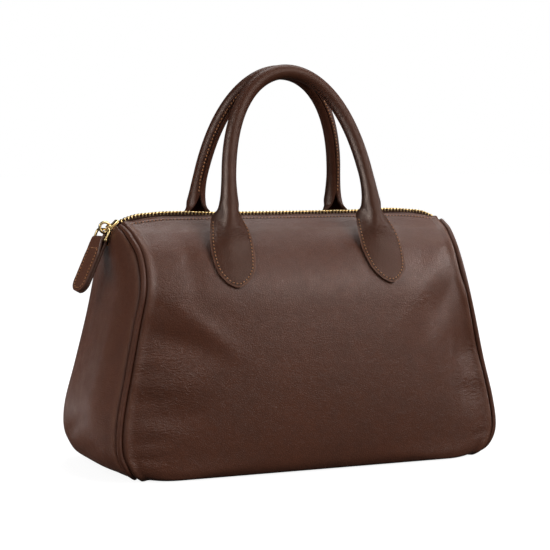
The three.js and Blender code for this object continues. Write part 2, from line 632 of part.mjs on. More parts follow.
function handle(side, name) {
  const start = (ROLL_START - ARCH.foot) / (ARCH.top - ARCH.foot);
  const rises = spread(Math.asin(start), Math.PI / 2, ARCH_STEPS).map(Math.sin);
  const half = [...TAB_ROWS.map(tabSection), ...rises.map(archSection)];
  const moved = (p, mirror) => new THREE.Vector3(mirror * p.x + HANDLE_SHIFT, side * p.y, p.z);
  const place = (points, mirror) => points.map((p) => moved(p, mirror));
  const grid = (layer) => [
    ...half.map((section) => place(section[layer], 1)),
    ...half.slice(0, -1).toReversed().map((section) => place(section[layer], -1)),
  ];
  return mesh(name, sheetSolid(grid("outer"), grid("inner")), MATERIALS.handle);
}

const handbag = new THREE.Group();
handbag.add(
  bodyWrap(),
  endPanel(-1, "end_panel_left"),
  endPanel(1, "end_panel_right"),
  piping(-1, "piping_left"),
  piping(1, "piping_right"),
  zipTape(-1, "zip_tape_front"),
  zipTape(1, "zip_tape_back"),
  zipTeeth(-1, "zip_teeth_front"),
  zipTeeth(1, "zip_teeth_back"),
  sliderGroup(),
  pullGroup(),
  handle(1, "handle_front"),
  handle(-1, "handle_back"),
);

export default handbag;
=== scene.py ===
"""Looks of a soft leather handbag with a zipped top and two rolled handles, over its CAD frame.

The outline tables repeat the CAD source's, in millimetres. Meshes are in metres, in the CAD frame:
+Z up, +X along the bag, -Y towards the front, and the origin in the middle of the base.
"""

import logging
import math
from dataclasses import dataclass
from enum import Enum
from typing import NamedTuple

import bpy
import numpy as np
from mathutils import Matrix, Vector


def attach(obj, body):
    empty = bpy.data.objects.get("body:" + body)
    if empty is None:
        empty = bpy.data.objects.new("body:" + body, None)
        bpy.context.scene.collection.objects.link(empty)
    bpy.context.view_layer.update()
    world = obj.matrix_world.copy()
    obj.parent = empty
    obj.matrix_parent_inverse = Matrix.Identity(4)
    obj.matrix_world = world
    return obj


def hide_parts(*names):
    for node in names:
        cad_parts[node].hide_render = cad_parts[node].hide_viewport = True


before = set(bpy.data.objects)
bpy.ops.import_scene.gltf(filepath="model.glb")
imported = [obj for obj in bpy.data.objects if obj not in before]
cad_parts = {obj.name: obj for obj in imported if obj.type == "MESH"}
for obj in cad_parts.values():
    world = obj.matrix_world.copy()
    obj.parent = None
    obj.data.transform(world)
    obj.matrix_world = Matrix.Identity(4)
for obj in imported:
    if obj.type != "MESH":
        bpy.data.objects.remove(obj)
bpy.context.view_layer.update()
MM = 0.001
# Millimetres above the base over which the dents fade out.
BASE_FADE = 12.0
# Edges sharper than the first angle stay sharp, and those sharper than the second are rounded.
SMOOTH_ANGLE = math.radians(40)
BEVEL_ANGLE = math.radians(55)
log = logging.getLogger("handbag")
Colour = tuple[float, float, float, float]
Point = tuple[float, float, float]
Faces = list[tuple[int, ...]]
Value = float | tuple[float, ...] | bpy.types.NodeSocket


class End(Enum):
    """The two ends of the bag, by the sign of X."""

    LEFT = -1
    RIGHT = 1


class Side(Enum):
    """The front and the back of the bag, by the sign of Y."""

    FRONT = -1
    BACK = 1


class Body(Enum):
    """The bodies that pieces ride on."""

    BAG = "bag"
    PULL = "pull"


class Slot(Enum):
    """The record's material slots."""

    BODY = "body_leather"
    HANDLE = "handle_leather"
    TAPE = "zip_tape"
    BRASS = "brass"


class Level(NamedTuple):
    """One level of the outline, from the zip down the front to the middle of the base.

    seam: the piped seam. mid: the wrap halfway along the bag. left_x, right_x, end_z: the end panels'
    centre lines. flat, power: where the wrap leaves its middle outline, and how fast.
    """

    seam_x: float
    seam_y: float
    seam_z: float
    mid_y: float
    mid_z: float
    left_x: float
    right_x: float
    end_z: float
    flat: float
    power: float


LEVELS = (
    Level(153.5, 7.2, 206.4, 7.6, 213, 154, 154, 207.8, 0.75, 1.8),
    Level(152, 16, 203.8, 18, 207.2, 157, 158, 204.8, 0.6, 2),
    Level(150.5, 29.6, 197.5, 33, 200.2, 160.5, 162, 198.5, 0.3, 2.4),
    Level(148, 48, 181.5, 53.5, 183.7, 163.5, 166, 182.5, 0, 3),
    Level(149.6, 60, 156.5, 70, 157.5, 165, 167, 157.5, 0, 3),
    Level(156.2, 62.3, 126.5, 77.5, 126.5, 170.5, 170, 127.5, 0, 3),
    Level(164.6, 63.9, 86.5, 83, 86.5, 181, 176, 87.5, 0, 3),
    Level(172.4, 67.2, 51, 85.8, 49, 190, 182, 52, 0, 3.2),
    Level(174.2, 70.2, 25.5, 86, 19, 189.5, 182.5, 28, 0.1, 3),
    Level(168.2, 70, 10.5, 83.5, 4.5, 181.5, 176.5, 12, 0.55, 2.4),
    Level(160, 64.5, 3.6, 75.5, 0, 170, 167.5, 5, 0.8, 2),
    Level(158, 50, 2.45, 50, 0, 160, 159.5, 2.6, 0.85, 2),
    Level(156, 0, 2.45, 0, 0, 156.5, 156.5, 2.45, 0.85, 2),
)


class Dent(NamedTuple):
    """A soft dent: its place on a wall, half-widths along and up, turn in degrees, depth inwards."""

    along: float
    up: float
    reach_along: float
    reach_up: float
    turn: float
    depth: float


FRONT_DENTS = (
    Dent(-107, 176, 9, 22, 0, 2.2),  # pucker beside the left tab
    Dent(-4, 186, 34, 15, 0, 1.6),  # hollow between the handles
    Dent(-134, 112, 22, 13, 0, 2),  # tug at the left seam
    Dent(-128, 82, 24, 13, 0, -1.6),  # swell under the tug
    Dent(-132, 54, 26, 12, 0, 1.6),  # fold low on the left
    Dent(116, 150, 15, 26, 0, 1.4),  # hollow beside the right tab
    Dent(148, 96, 13, 18, 0, 2.2),  # dent at the right seam
    Dent(150, 56, 14, 12, 0, 1.6),  # dent low on the right
)
FRONT_FOLDS = (
    Dent(-148, 66, 18, 4, 4, 0.9),
    Dent(-146, 79, 16, 4, -6, -0.8),
    Dent(-146, 92, 17, 3.5, 8, 0.7),
    Dent(-149, 44, 15, 4.5, -4, -0.9),
    Dent(-150, 33, 14, 4, 6, 0.8),
    Dent(-152, 19, 13, 3.5, -3, 0.6),
    Dent(132, 84, 5, 36, -2, 0.8),
    Dent(143, 62, 8, 3, 22, 0.7),
    Dent(152, 68, 9, 2.6, 20, -0.6),
    Dent(149, 92, 8, 2.8, 14, 0.6),
    Dent(156, 20, 9, 2.8, 18, 0.6),
    Dent(108, 100, 8, 30, 12, -0.6),
    Dent(-103, 185, 15, 3, 45, 0.8),
    Dent(-110, 55, 10, 2, 22, 0.4),
    Dent(-100, 123, 36, 8, -38, -1.5),
    Dent(-124, 114, 28, 8, -24, 1.5),
    Dent(-142, 96, 16, 5, 10, -0.9),
    Dent(116, 203, 17, 1.8, -5, 0.5),
    Dent(104, 206, 12, 1.5, 8, 0.4),
    Dent(112, 160, 44, 9, 50, -1.5),
    Dent(132, 148, 42, 9, 52, 1.8),
    Dent(152, 146, 7, 16, -22, -1.0),
)
BACK_DENTS = (
    Dent(-112, 168, 12, 24, 0, 1.4),
    Dent(6, 184, 36, 16, 0, 1.4),
    Dent(128, 106, 24, 14, 8, 1.5),
    Dent(130, 60, 24, 12, -4, 1.2),
    Dent(-138, 78, 18, 14, 4, 1.4),
    Dent(-20, 70, 60, 30, 0, 0.8),
)
END_DENTS = (
    Dent(20, 120, 14, 60, -4, 1.6),
    Dent(-34, 96, 12, 52, 3, -1.0),
    Dent(12, 34, 42, 7, -24, 1.5),
    Dent(-22, 20, 30, 5, -14, 0.8),
    Dent(0, 170, 26, 14, 0, 0.8),
)


class Crease(NamedTuple):
    """A patch of fine creases on a wall: its place, its half-widths and its strength."""

    along: float
    up: float
    reach_along: float
    reach_up: float
    strength: float


FRONT_CREASES = (
    Crease(-138, 86, 30, 34, 1.0),
    Crease(-146, 44, 24, 16, 0.9),
    Crease(-150, 18, 20, 10, 0.7),
    Crease(-122, 150, 18, 22, 0.35),
    Crease(152, 64, 16, 18, 0.8),
    Crease(152, 94, 12, 10, 0.6),
    Crease(158, 22, 12, 10, 0.6),
    Crease(112, 206, 26, 5, 0.7),
    Crease(92, 140, 26, 20, 0.3),
)
BACK_CREASES = (
    Crease(142, 70, 26, 34, 0.8),
    Crease(-148, 60, 22, 30, 0.7),
    Crease(-110, 206, 26, 5, 0.5),
)
END_CREASES = (
    Crease(-46, 60, 16, 40, 0.35),
    Crease(30, 28, 30, 16, 0.5),
)


def catmull_rom(points: np.ndarray, at: np.ndarray) -> np.ndarray:
    """Points of a smooth curve through rows of points.

    Args:
        points: The rows that the curve runs through.
        at: Places on the curve, counted in rows.

    Returns:
        A row for each place.
    """
    ends = np.vstack([2 * points[0] - points[1], points, 2 * points[-1] - points[-2]])
    place = np.clip(at, 0, len(points) - 1)
    row = np.minimum(place.astype(int), len(points) - 2)
    t = (place - row)[..., None]
    a, b, c, d = (ends[row + k] for k in range(4))
    return b + 0.5 * t * (c - a + t * (2 * a - 5 * b + 4 * c - d + t * (3 * (b - c) + d - a)))


def walk(points: np.ndarray, axis: int = 0) -> np.ndarray:
    """Distances walked along points from the first of them.

    Args:
        points: A line of points, or a grid of them.
        axis: The axis to walk along.

    Returns:
        A distance for each point.
    """
    steps = np.linalg.norm(np.diff(points, axis=axis), axis=-1)
    start = np.zeros_like(steps.take([0], axis=axis))
    return np.concatenate([start, np.cumsum(steps, axis=axis)], axis=axis)


def at_distance(distances: np.ndarray | float, along: np.ndarray, rows: np.ndarray) -> np.ndarray:
    """Rows between a line's own, at distances along it."""
    return np.stack([np.interp(distances, along, rows[:, k]) for k in range(3)], axis=-1)


def loft(sections: np.ndarray, steps: int) -> np.ndarray:
    """Evenly spaced sections on smooth curves through the points of a few.

    Args:
        sections: Rows of sections, each with the same number of points.
        steps: The number of sections to return.

    Returns:
        The new sections.
    """
    gaps = np.linalg.norm(np.diff(sections, axis=0), axis=2).mean(axis=1)
    along = np.concatenate([[0], np.cumsum(gaps)])
    slopes = np.gradient(sections, along, axis=0)
    at = np.linspace(0, along[-1], steps)
    row = np.clip(np.searchsorted(along, at, side="right") - 1, 0, len(gaps) - 1)
    gap = gaps[row][:, None, None]
    t = (at - along[row])[:, None, None] / gap
    start = (2 * t**3 - 3 * t**2 + 1) * sections[row] + (t**3 - 2 * t**2 + t) * slopes[row] * gap
    end = (3 * t**2 - 2 * t**3) * sections[row + 1] + (t**3 - t**2) * slopes[row + 1] * gap
    return start + end


def grid_normals(points: np.ndarray) -> np.ndarray:
    """Unit normals of a grid of points, on the side that its mesh faces."""
    normals = np.cross(np.gradient(points, axis=1), np.gradient(points, axis=0))
    return normals / np.maximum(np.linalg.norm(normals, axis=2, keepdims=True), 1e-9)


def on_grid(grid: np.ndarray, row: np.ndarray, column: np.ndarray) -> np.ndarray:
    """Values between a grid's points.

    Args:
        grid: The grid's values.
        row: Rows, which needn't be whole numbers.
        column: Columns, likewise.

    Returns:
        A value for each pair of row and column.
    """
    i = np.clip(row.astype(int), 0, grid.shape[0] - 2)
    j = np.clip(column.astype(int), 0, grid.shape[1] - 2)
    s, t = (row - i)[:, None], (column - j)[:, None]
    near = grid[i, j] * (1 - t) + grid[i, j + 1] * t
    far = grid[i + 1, j] * (1 - t) + grid[i + 1, j + 1] * t
    return near * (1 - s) + far * s


def bell(distance: np.ndarray, reach: float) -> np.ndarray:
    """A smooth bump of height 1 that fades over a reach."""
    return np.exp(-((distance / reach) ** 2))


def smooth_step(value: np.ndarray) -> np.ndarray:
    """A value kept from 0 to 1, and eased at both ends."""
    t = np.clip(value, 0, 1)
    return t * t * (3 - 2 * t)


def dent_depth(dents: tuple[Dent, ...], along: np.ndarray, up: np.ndarray) -> np.ndarray:
    """How far a wall is pushed in by a table of dents.

    Args:
        dents: The dents.
        along: Places along the wall.
        up: Heights on the wall.

    Returns:
        The depth at each place, in millimetres.
    """
    depth = np.zeros_like(up)
    for dent in dents:
        turn = math.radians(dent.turn)
        a, b = along - dent.along, up - dent.up
        u = (a * math.cos(turn) + b * math.sin(turn)) / dent.reach_along
        v = (b * math.cos(turn) - a * math.sin(turn)) / dent.reach_up
        depth = depth + dent.depth * np.exp(-(u**2) - v**2)
    return depth


def crease_mask(creases: tuple[Crease, ...], along: np.ndarray, up: np.ndarray) -> np.ndarray:
    """How strongly the fine creases show.

    Args:
        creases: The patches of creases.
        along: Places along the wall.
        up: Heights on the wall.

    Returns:
        A strength from 0 to 1 at each place.
    """
    mask = np.zeros_like(up)
    for crease in creases:
        u = (along - crease.along) / crease.reach_along
        v = (up - crease.up) / crease.reach_up
        mask = np.maximum(mask, crease.strength * np.exp(-(u**2) - v**2))
    return mask


def eased(count: int, ease: float = 0.3) -> np.ndarray:
    """Places from -1 to 1 that lie closer together towards both ends."""
    t = np.linspace(-1, 1, count)
    return t * (1 + ease - ease * t**2)


@dataclass(frozen=True)
class BagForm:
    """The bag's outline, in millimetres."""

    crown_left: float = 3.8
    crown_right: float = 2.4

    @property
    def last(self) -> int:
        """The level of the middle of the base."""
        return len(LEVELS) - 1

    def at(self, level: np.ndarray) -> Level:
        """The outline table at any levels. Those past the last climb the back."""
        row = self.last - np.abs(level - self.last)
        return Level(*np.moveaxis(catmull_rom(np.array(LEVELS), row), -1, 0))

    def wrap(self, level: np.ndarray, x: np.ndarray, folds: bool = True) -> np.ndarray:
        """Points of the wrap's outer face.

        Args:
            level: Levels from the zip's front edge to its back edge.
            x: Places along the bag.
            folds: True for the finer folds as well as the main dents.

        Returns:
            A point for each level and place.
        """
        row = self.at(level)
        share = np.abs(x) / row.seam_x
        turn = np.maximum(0, (share - row.flat) / (1 - row.flat)) ** row.power
        z = np.maximum(0, row.mid_z + (row.seam_z - row.mid_z) * turn)
        depth = np.maximum(0, row.mid_y + (row.seam_y - row.mid_y) * turn)
        front = dent_depth(FRONT_DENTS + FRONT_FOLDS if folds else FRONT_DENTS, x, z) - depth
        back = depth - dent_depth(BACK_DENTS, x, z)
        low = np.clip(z / BASE_FADE, 0, 1)
        y = np.where(level > self.last, depth + (back - depth) * low, (front + depth) * low - depth)
        return np.stack([x, y, z], axis=-1)

    def wall_level(self, height: float, x: float) -> float:
        """Finds a height on the front wall by halving.

        Args:
            height: The height.
            x: The place along the bag.

        Returns:
            The level at which the wall has that height.
        """
        low, high = 0.0, float(self.last)
        for _ in range(40):
            middle = (low + high) / 2
            above = self.wrap(np.array([middle]), np.array([x]), False)[0, 2] > height
            low, high = (middle, high) if above else (low, middle)
        return low

    def wall_normal(self, level: float, x: float, step: float = 0.02) -> np.ndarray:
        """Which way the front wall faces.

        Args:
            level: The level on the wall.
            x: The place along the bag.
            step: How far to each side the wall's slope is read.

        Returns:
            The outward unit normal.
        """
        levels = np.array([level + step, level - step, level, level])
        places = np.array([x, x, x + step, x - step])
        p = self.wrap(levels, places, False)
        normal = np.cross(p[0] - p[1], p[2] - p[3])
        return normal / np.linalg.norm(normal)

    def end_panel(self, end: End, level: np.ndarray, across: np.ndarray) -> np.ndarray:
        """Points of an end panel's outer face.

        Args:
            end: The panel's end of the bag.
            level: Levels from the zip down to the base.
            across: Places from -1 at the front seam to 1 at the back one.

        Returns:
            A point for each level and place.
        """
        row = self.at(level)
        left = end is End.LEFT
        bulge = 1 - np.abs(across) ** (self.crown_left if left else self.crown_right)
        reach = row.left_x if left else row.right_x
        x = row.seam_x + (reach - row.seam_x) * bulge
        z = row.seam_z + (row.end_z - row.seam_z) * bulge
        return np.stack([end.value * x, across * row.seam_y, z], axis=-1)

    def seam(self, end: End, level: np.ndarray) -> np.ndarray:
        """Points of a piped seam.

        Args:
            end: The seam's end of the bag.
            level: Levels down the front and up the back.

        Returns:
            A point for each level.
        """
        row = self.at(level)
        y = np.where(level > self.last, row.seam_y, -row.seam_y)
        return np.stack([end.value * row.seam_x, y, row.seam_z], axis=-1)


FORM = BagForm()


def add_node(
    tree: bpy.types.NodeTree,
    kind: str,
    inputs: dict[str | int, Value] | None = None,
    **settings: object,
) -> bpy.types.Node:
    """Adds a shader node.

    Args:
        tree: The tree to add it to.
        kind: The node's type.
        inputs: Values or sockets for its inputs, by name or number.
        **settings: The node's own settings.

    Returns:
        The node.
    """
    made = tree.nodes.new(kind)
    for name, value in settings.items():
        setattr(made, name, value)
    for key, value in (inputs or {}).items():
        if isinstance(value, bpy.types.NodeSocket):
            tree.links.new(value, made.inputs[key])
        else:
            made.inputs[key].default_value = value
    return made


def math_node(tree: bpy.types.NodeTree, operation: str, a: Value, b: Value) -> bpy.types.NodeSocket:
    """The result of a sum on two values."""
    return add_node(tree, "ShaderNodeMath", {0: a, 1: b}, operation=operation).outputs[0]


def mix_colours(tree: bpy.types.NodeTree, factor: Value, a: Value, b: Value) -> bpy.types.NodeSocket:
    """A colour between two."""
    made = add_node(tree, "ShaderNodeMix", {0: factor, 6: a, 7: b}, data_type="RGBA")
    return made.outputs[2]


def noise(
    tree: bpy.types.NodeTree, vector: Value, scale: Value, detail: float, rough: float = 0.5
) -> bpy.types.NodeSocket:
    """The value of a noise texture."""
    values = {"Vector": vector, "Scale": scale, "Detail": detail, "Roughness": rough}
    return add_node(tree, "ShaderNodeTexNoise", values).outputs[0]


def remap(
    tree: bpy.types.NodeTree, value: Value, low: float, high: float, to_low: float, to_high: float
) -> bpy.types.NodeSocket:
    """A value moved from one range to another."""
    values = {0: value, 1: low, 2: high, 3: to_low, 4: to_high}
    return add_node(tree, "ShaderNodeMapRange", values).outputs[0]


def new_group(name: str, inputs: tuple[str, ...], outputs: tuple[str, ...]) -> bpy.types.NodeTree:
    """Adds an empty shader node group.

    Args:
        name: The group's name.
        inputs: Its inputs. One named Vector is a vector, and every other a value.
        outputs: Its outputs, all values.

    Returns:
        The group's node tree.
    """
    group = bpy.data.node_groups.new(name, "ShaderNodeTree")
    for title in inputs:
        kind = "NodeSocketVector" if title == "Vector" else "NodeSocketFloat"
        group.interface.new_socket(title, in_out="INPUT", socket_type=kind)
    for title in outputs:
        group.interface.new_socket(title, in_out="OUTPUT", socket_type="NodeSocketFloat")
    return group


def grain_group() -> bpy.types.NodeTree:
    """The relief of leather: fine pebbles and pores, and creases where the mask calls for them.

    Returns:
        The group, which puts out a height and a mask that is 0 in the pores.
    """
    tree = new_group("leather_grain", ("Vector", "Scale", "Crease"), ("Height", "Pores"))
    given = tree.nodes.new("NodeGroupInput")
    place, scale = given.outputs["Vector"], given.outputs["Scale"]
    bend = add_node(tree, "ShaderNodeTexNoise", {"Vector": place, "Scale": 160.0, "Detail": 2.0})
    moved = add_node(tree, "ShaderNodeVectorMath", {0: bend.outputs["Color"], 3: 0.004}, operation="SCALE")
    warped = add_node(tree, "ShaderNodeVectorMath", {0: place, 1: moved.outputs[0]}).outputs[0]
    cells = add_node(
        tree,
        "ShaderNodeTexVoronoi",
        {"Vector": warped, "Scale": scale},
        feature="DISTANCE_TO_EDGE",
    )
    pebbles = remap(tree, cells.outputs["Distance"], 0.0, 0.22, 0.0, 1.0)
    fine = noise(tree, place, math_node(tree, "MULTIPLY", scale, 3.1), 3.0, 0.6)
    broad = noise(tree, place, math_node(tree, "MULTIPLY", scale, 0.16), 3.0, 0.55)
    stretched = add_node(tree, "ShaderNodeMapping", {"Vector": warped, "Scale": (95.0, 95.0, 420.0)})
    streaks = noise(tree, stretched.outputs[0], 1.0, 3.0, 0.6)
    ridged = math_node(tree, "ABSOLUTE", math_node(tree, "SUBTRACT", streaks, 0.5), 0.0)
    furrows = remap(tree, ridged, 0.0, 0.12, 0.0, 1.0)
    creased = math_node(tree, "MULTIPLY", furrows, given.outputs["Crease"])
    height = math_node(tree, "MULTIPLY", pebbles, 0.34)
    for layer, share in ((fine, 0.3), (broad, 0.9), (creased, 1.0)):
        height = math_node(tree, "ADD", height, math_node(tree, "MULTIPLY", layer, share))
    out = tree.nodes.new("NodeGroupOutput")
    tree.links.new(height, out.inputs["Height"])
    tree.links.new(pebbles, out.inputs["Pores"])
    return tree


def tone_group() -> bpy.types.NodeTree:
    """The uneven dye of leather: wide patches, and a finer mottle.

    Returns:
        The group, which puts out a mask for each.
    """
    tree = new_group("leather_tone", ("Vector",), ("Patch", "Mottle"))
    given = tree.nodes.new("NodeGroupInput")
    place = given.outputs["Vector"]
    patch = remap(tree, noise(tree, place, 11.0, 3.0, 0.5), 0.36, 0.66, 0.0, 1.0)
    mottle = remap(tree, noise(tree, place, 90.0, 4.0, 0.6), 0.3, 0.7, 0.0, 1.0)
    out = tree.nodes.new("NodeGroupOutput")
    tree.links.new(patch, out.inputs["Patch"])
    tree.links.new(mottle, out.inputs["Mottle"])
    return tree


GRAIN = grain_group()
TONE = tone_group()


def new_material(name: str) -> tuple[bpy.types.Material, bpy.types.NodeTree, bpy.types.Node]:
    """Adds a material.

    Args:
        name: The material's name.

    Returns:
        The material, its node tree and its Principled BSDF.
    """
    material = bpy.data.materials.new(name)
    material.use_nodes = True
    tree = material.node_tree
    return material, tree, tree.nodes["Principled BSDF"]


def object_place(tree: bpy.types.NodeTree) -> bpy.types.NodeSocket:
    """Where a point is in its object's own frame, which is the bag's."""
    return add_node(tree, "ShaderNodeTexCoord").outputs["Object"]


def add_bump(
    tree: bpy.types.NodeTree, shader: bpy.types.Node, strength: float, depth: float, height: Value
) -> None:
    """Bends a shader's normals by a height.

    Args:
        tree: The material's node tree.
        shader: The shader.
        strength: How much of the relief shows.
        depth: The relief's depth, in metres.
        height: The height, from 0 to 1.
    """
    values = {"Strength": strength, "Distance": depth, "Height": height}
    bump = add_node(tree, "ShaderNodeBump", values)
    tree.links.new(bump.outputs[0], shader.inputs["Normal"])


def read_attribute(tree: bpy.types.NodeTree, name: str) -> bpy.types.NodeSocket:
    """The value of a mesh attribute, which is 0 on a mesh without it."""
    return add_node(tree, "ShaderNodeAttribute", attribute_name=name).outputs["Fac"]


@dataclass(frozen=True)
class LeatherFinish:
    """Dyed, lightly polished leather."""

    name: str
    warm: Colour
    cool: Colour
    dark: Colour
    worn: Colour
    roughness: tuple[float, float] = (0.32, 0.44)
    grain_scale: float = 620.0
    grain_depth: float = 0.00024
    specular: float = 0.26
    tint: Colour = (1, 0.91, 0.86, 1)
    mottling: float = 0.22
    pore_shade: float = 0.28
    groove_roughness: float = 0.25

    def material(self) -> bpy.types.Material:
        """Builds the finish.

        Returns:
            The material.
        """
        made, tree, shader = new_material(self.name)
        place = object_place(tree)
        crease, groove_shade, wear = (read_attribute(tree, name) for name in ("crease", "groove_shade", "wear"))
        tone = add_node(tree, "ShaderNodeGroup", node_tree=TONE)
        tree.links.new(place, tone.inputs["Vector"])
        grain = add_node(tree, "ShaderNodeGroup", node_tree=GRAIN)
        tree.links.new(place, grain.inputs["Vector"])
        tree.links.new(crease, grain.inputs["Crease"])
        grain.inputs["Scale"].default_value = self.grain_scale
        patch, mottle = tone.outputs["Patch"], tone.outputs["Mottle"]
        base = mix_colours(tree, patch, self.warm, self.cool)
        shade = math_node(tree, "MULTIPLY", mottle, self.mottling)
        base = mix_colours(tree, shade, base, self.dark)
        pores = remap(tree, grain.outputs["Pores"], 0.0, 1.0, self.pore_shade, 0.0)
        base = mix_colours(tree, pores, base, self.dark)
        # The worn colour where the wear attribute is high; on the handles' tab rims this is partly a
        # painted highlight.
        base = mix_colours(tree, math_node(tree, "MULTIPLY", wear, mottle), base, self.worn)
        # Painted shade in the grooves beside the seams, the zip and the stitch lines, where the groove
        # attribute is high.
        base = mix_colours(tree, groove_shade, base, self.dark)
        tree.links.new(base, shader.inputs["Base Color"])
        rough = remap(tree, mottle, 0.0, 1.0, *self.roughness)
        dull = math_node(tree, "MULTIPLY", groove_shade, self.groove_roughness)
        rough = math_node(tree, "ADD", rough, dull)
        tree.links.new(rough, shader.inputs["Roughness"])
        add_bump(tree, shader, 1.0, self.grain_depth, grain.outputs["Height"])
        shader.inputs["Specular IOR Level"].default_value = self.specular
        shader.inputs["Specular Tint"].default_value = self.tint
        return made


@dataclass(frozen=True)
class EdgeFinish:
    """The painted and burnished cut edge of leather."""

    name: str
    colour: Colour
    rubbed: Colour
    roughness: float = 0.38
    spot_scale: float = 420.0
    rubbing: float = 0.6
    bump: float = 0.5
    bump_depth: float = 0.0001

    def material(self) -> bpy.types.Material:
        """Builds the finish.

        Returns:
            The material.
        """
        made, tree, shader = new_material(self.name)
        spots = noise(tree, object_place(tree), self.spot_scale, 3.0)
        rubbed = remap(tree, spots, 0.45, 0.75, 0.0, self.rubbing)
        base = mix_colours(tree, rubbed, self.colour, self.rubbed)
        tree.links.new(base, shader.inputs["Base Color"])
        add_bump(tree, shader, self.bump, self.bump_depth, spots)
        shader.inputs["Roughness"].default_value = self.roughness
        return made


@dataclass(frozen=True)
class ThreadFinish:
    """Waxed sewing thread, with its twist."""

    name: str
    light: Colour
    dark: Colour
    roughness: float = 0.62
    twist: float = 420.0
    bump: float = 0.6
    bump_depth: float = 0.0001

    def material(self) -> bpy.types.Material:
        """Builds the finish.

        Returns:
            The material.
        """
        made, tree, shader = new_material(self.name)
        values = {"Vector": object_place(tree), "Scale": self.twist, "Distortion": 2.0}
        wave = add_node(tree, "ShaderNodeTexWave", values, bands_direction="DIAGONAL")
        plies = wave.outputs["Fac"]
        base = mix_colours(tree, plies, self.dark, self.light)
        tree.links.new(base, shader.inputs["Base Color"])
        add_bump(tree, shader, self.bump, self.bump_depth, plies)
        shader.inputs["Roughness"].default_value = self.roughness
        return made


@dataclass(frozen=True)
class BrassFinish:
    """Polished golden brass with faint scuffs and tarnish."""

    name: str
    bright: Colour
    dull: Colour
    roughness: tuple[float, float] = (0.26, 0.4)
    stain_scale: float = 260.0
    scuff_scale: float = 1500.0

    def material(self) -> bpy.types.Material:
        """Builds the finish.

        Returns:
            The material.
        """
        made, tree, shader = new_material(self.name)
        place = object_place(tree)
        stain = remap(tree, noise(tree, place, self.stain_scale, 3.0), 0.4, 0.7, 0.0, 1.0)
        base = mix_colours(tree, stain, self.bright, self.dull)
        tree.links.new(base, shader.inputs["Base Color"])
        scuff = noise(tree, place, self.scuff_scale, 2.0)
        tree.links.new(remap(tree, scuff, 0.3, 0.7, *self.roughness), shader.inputs["Roughness"])
        shader.inputs["Metallic"].default_value = 1.0
        return made


@dataclass(frozen=True)
class TapeFinish:
    """The woven cotton of the zip's tape."""

    name: str
    light: Colour
    dark: Colour
    threads: float = 1500.0
    roughness: float = 0.85
    specular: float = 0.1
    bump: float = 0.8
    bump_depth: float = 0.00015

    def material(self) -> bpy.types.Material:
        """Builds the finish.

        Returns:
            The material.
        """
        made, tree, shader = new_material(self.name)
        values = {"Vector": object_place(tree), "Scale": self.threads / (2 * math.pi)}
        waves = [add_node(tree, "ShaderNodeTexWave", values, bands_direction=axis) for axis in ("X", "Y")]
        weave = math_node(tree, "MULTIPLY", *(wave.outputs["Fac"] for wave in waves))
        base = mix_colours(tree, weave, self.dark, self.light)
        tree.links.new(base, shader.inputs["Base Color"])
        add_bump(tree, shader, self.bump, self.bump_depth, weave)
        shader.inputs["Roughness"].default_value = self.roughness
        shader.inputs["Specular IOR Level"].default_value = self.specular
        return made


BODY_LEATHER = LeatherFinish(
    "brown_body_leather",
    warm=(0.112, 0.040, 0.023, 1),
    cool=(0.100, 0.038, 0.023, 1),
    dark=(0.028, 0.010, 0.006, 1),
    worn=(0.170, 0.070, 0.040, 1),
)
HANDLE_LEATHER = LeatherFinish(
    "brown_handle_leather",
    warm=(0.080, 0.0265, 0.0145, 1),
    cool=(0.073, 0.0265, 0.0150, 1),
    dark=(0.020, 0.007, 0.004, 1),
    worn=(0.150, 0.062, 0.036, 1),
    roughness=(0.34, 0.42),
    specular=0.2,
    tint=(1, 0.82, 0.72, 1),
    grain_scale=640.0,
    grain_depth=0.00022,
)
# Painted light: the body's leather made lighter for the pull's tab, to stand in for light that it lacks.
LIGHTENED_PULL_LEATHER = LeatherFinish(
    "lightened_pull_leather",
    warm=(0.138, 0.054, 0.032, 1),
    cool=(0.128, 0.052, 0.032, 1),
    dark=(0.028, 0.010, 0.006, 1),
    worn=(0.170, 0.070, 0.040, 1),
    grain_scale=640.0,
)
CUT_EDGE = EdgeFinish("burnished_edge", (0.070, 0.031, 0.020, 1), (0.150, 0.078, 0.052, 1))
# Painted shade: the near-black of the needle holes, put on small blobs between the stitches.
NEEDLE_HOLE_SHADE = EdgeFinish("needle_hole_shade", (0.010, 0.005, 0.004, 1), (0.020, 0.010, 0.008, 1), 0.8)
TAN_THREAD = ThreadFinish("tan_thread", (0.520, 0.240, 0.105, 1), (0.290, 0.118, 0.046, 1))
BROWN_THREAD = ThreadFinish("brown_thread", (0.480, 0.200, 0.090, 1), (0.270, 0.105, 0.042, 1))
BRASS = BrassFinish("golden_brass", (0.900, 0.700, 0.360, 1), (0.700, 0.480, 0.200, 1))
TAPE_CLOTH = TapeFinish("brown_zip_tape", (0.060, 0.026, 0.016, 1), (0.022, 0.009, 0.006, 1))


def deselect() -> None:
    """Leaves no object selected."""
    bpy.ops.object.select_all(action="DESELECT")


def activate(piece: bpy.types.Object) -> None:
    """Makes one object the only one selected and active.

    Args:
        piece: The object.
    """
    deselect()
    piece.select_set(True)
    bpy.context.view_layer.objects.active = piece


def add_sheet(name: str, points: np.ndarray) -> bpy.types.Object:
    """Adds a grid and moves its vertices to rows of points.

    Args:
        name: The piece's name.
        points: The grid's rows and columns of points, in millimetres.

    Returns:
        The piece, one layer thin.
    """
    rows, columns = points.shape[:2]
    deselect()
    bpy.ops.mesh.primitive_grid_add(x_subdivisions=columns - 1, y_subdivisions=rows - 1, size=1)
    sheet = bpy.context.object
    sheet.name = sheet.data.name = name
    sheet.data.vertices.foreach_set("co", (points * MM).astype(np.float32).ravel())
    sheet.data.update()
    return sheet


def facing(points: np.ndarray, outward: Point, row: int, column: int) -> np.ndarray:
    """The grid, turned so that its mesh faces outward at one of its points."""
    normal = grid_normals(points)[row, column]
    return points if normal @ np.array(outward) > 0 else points[:, ::-1]


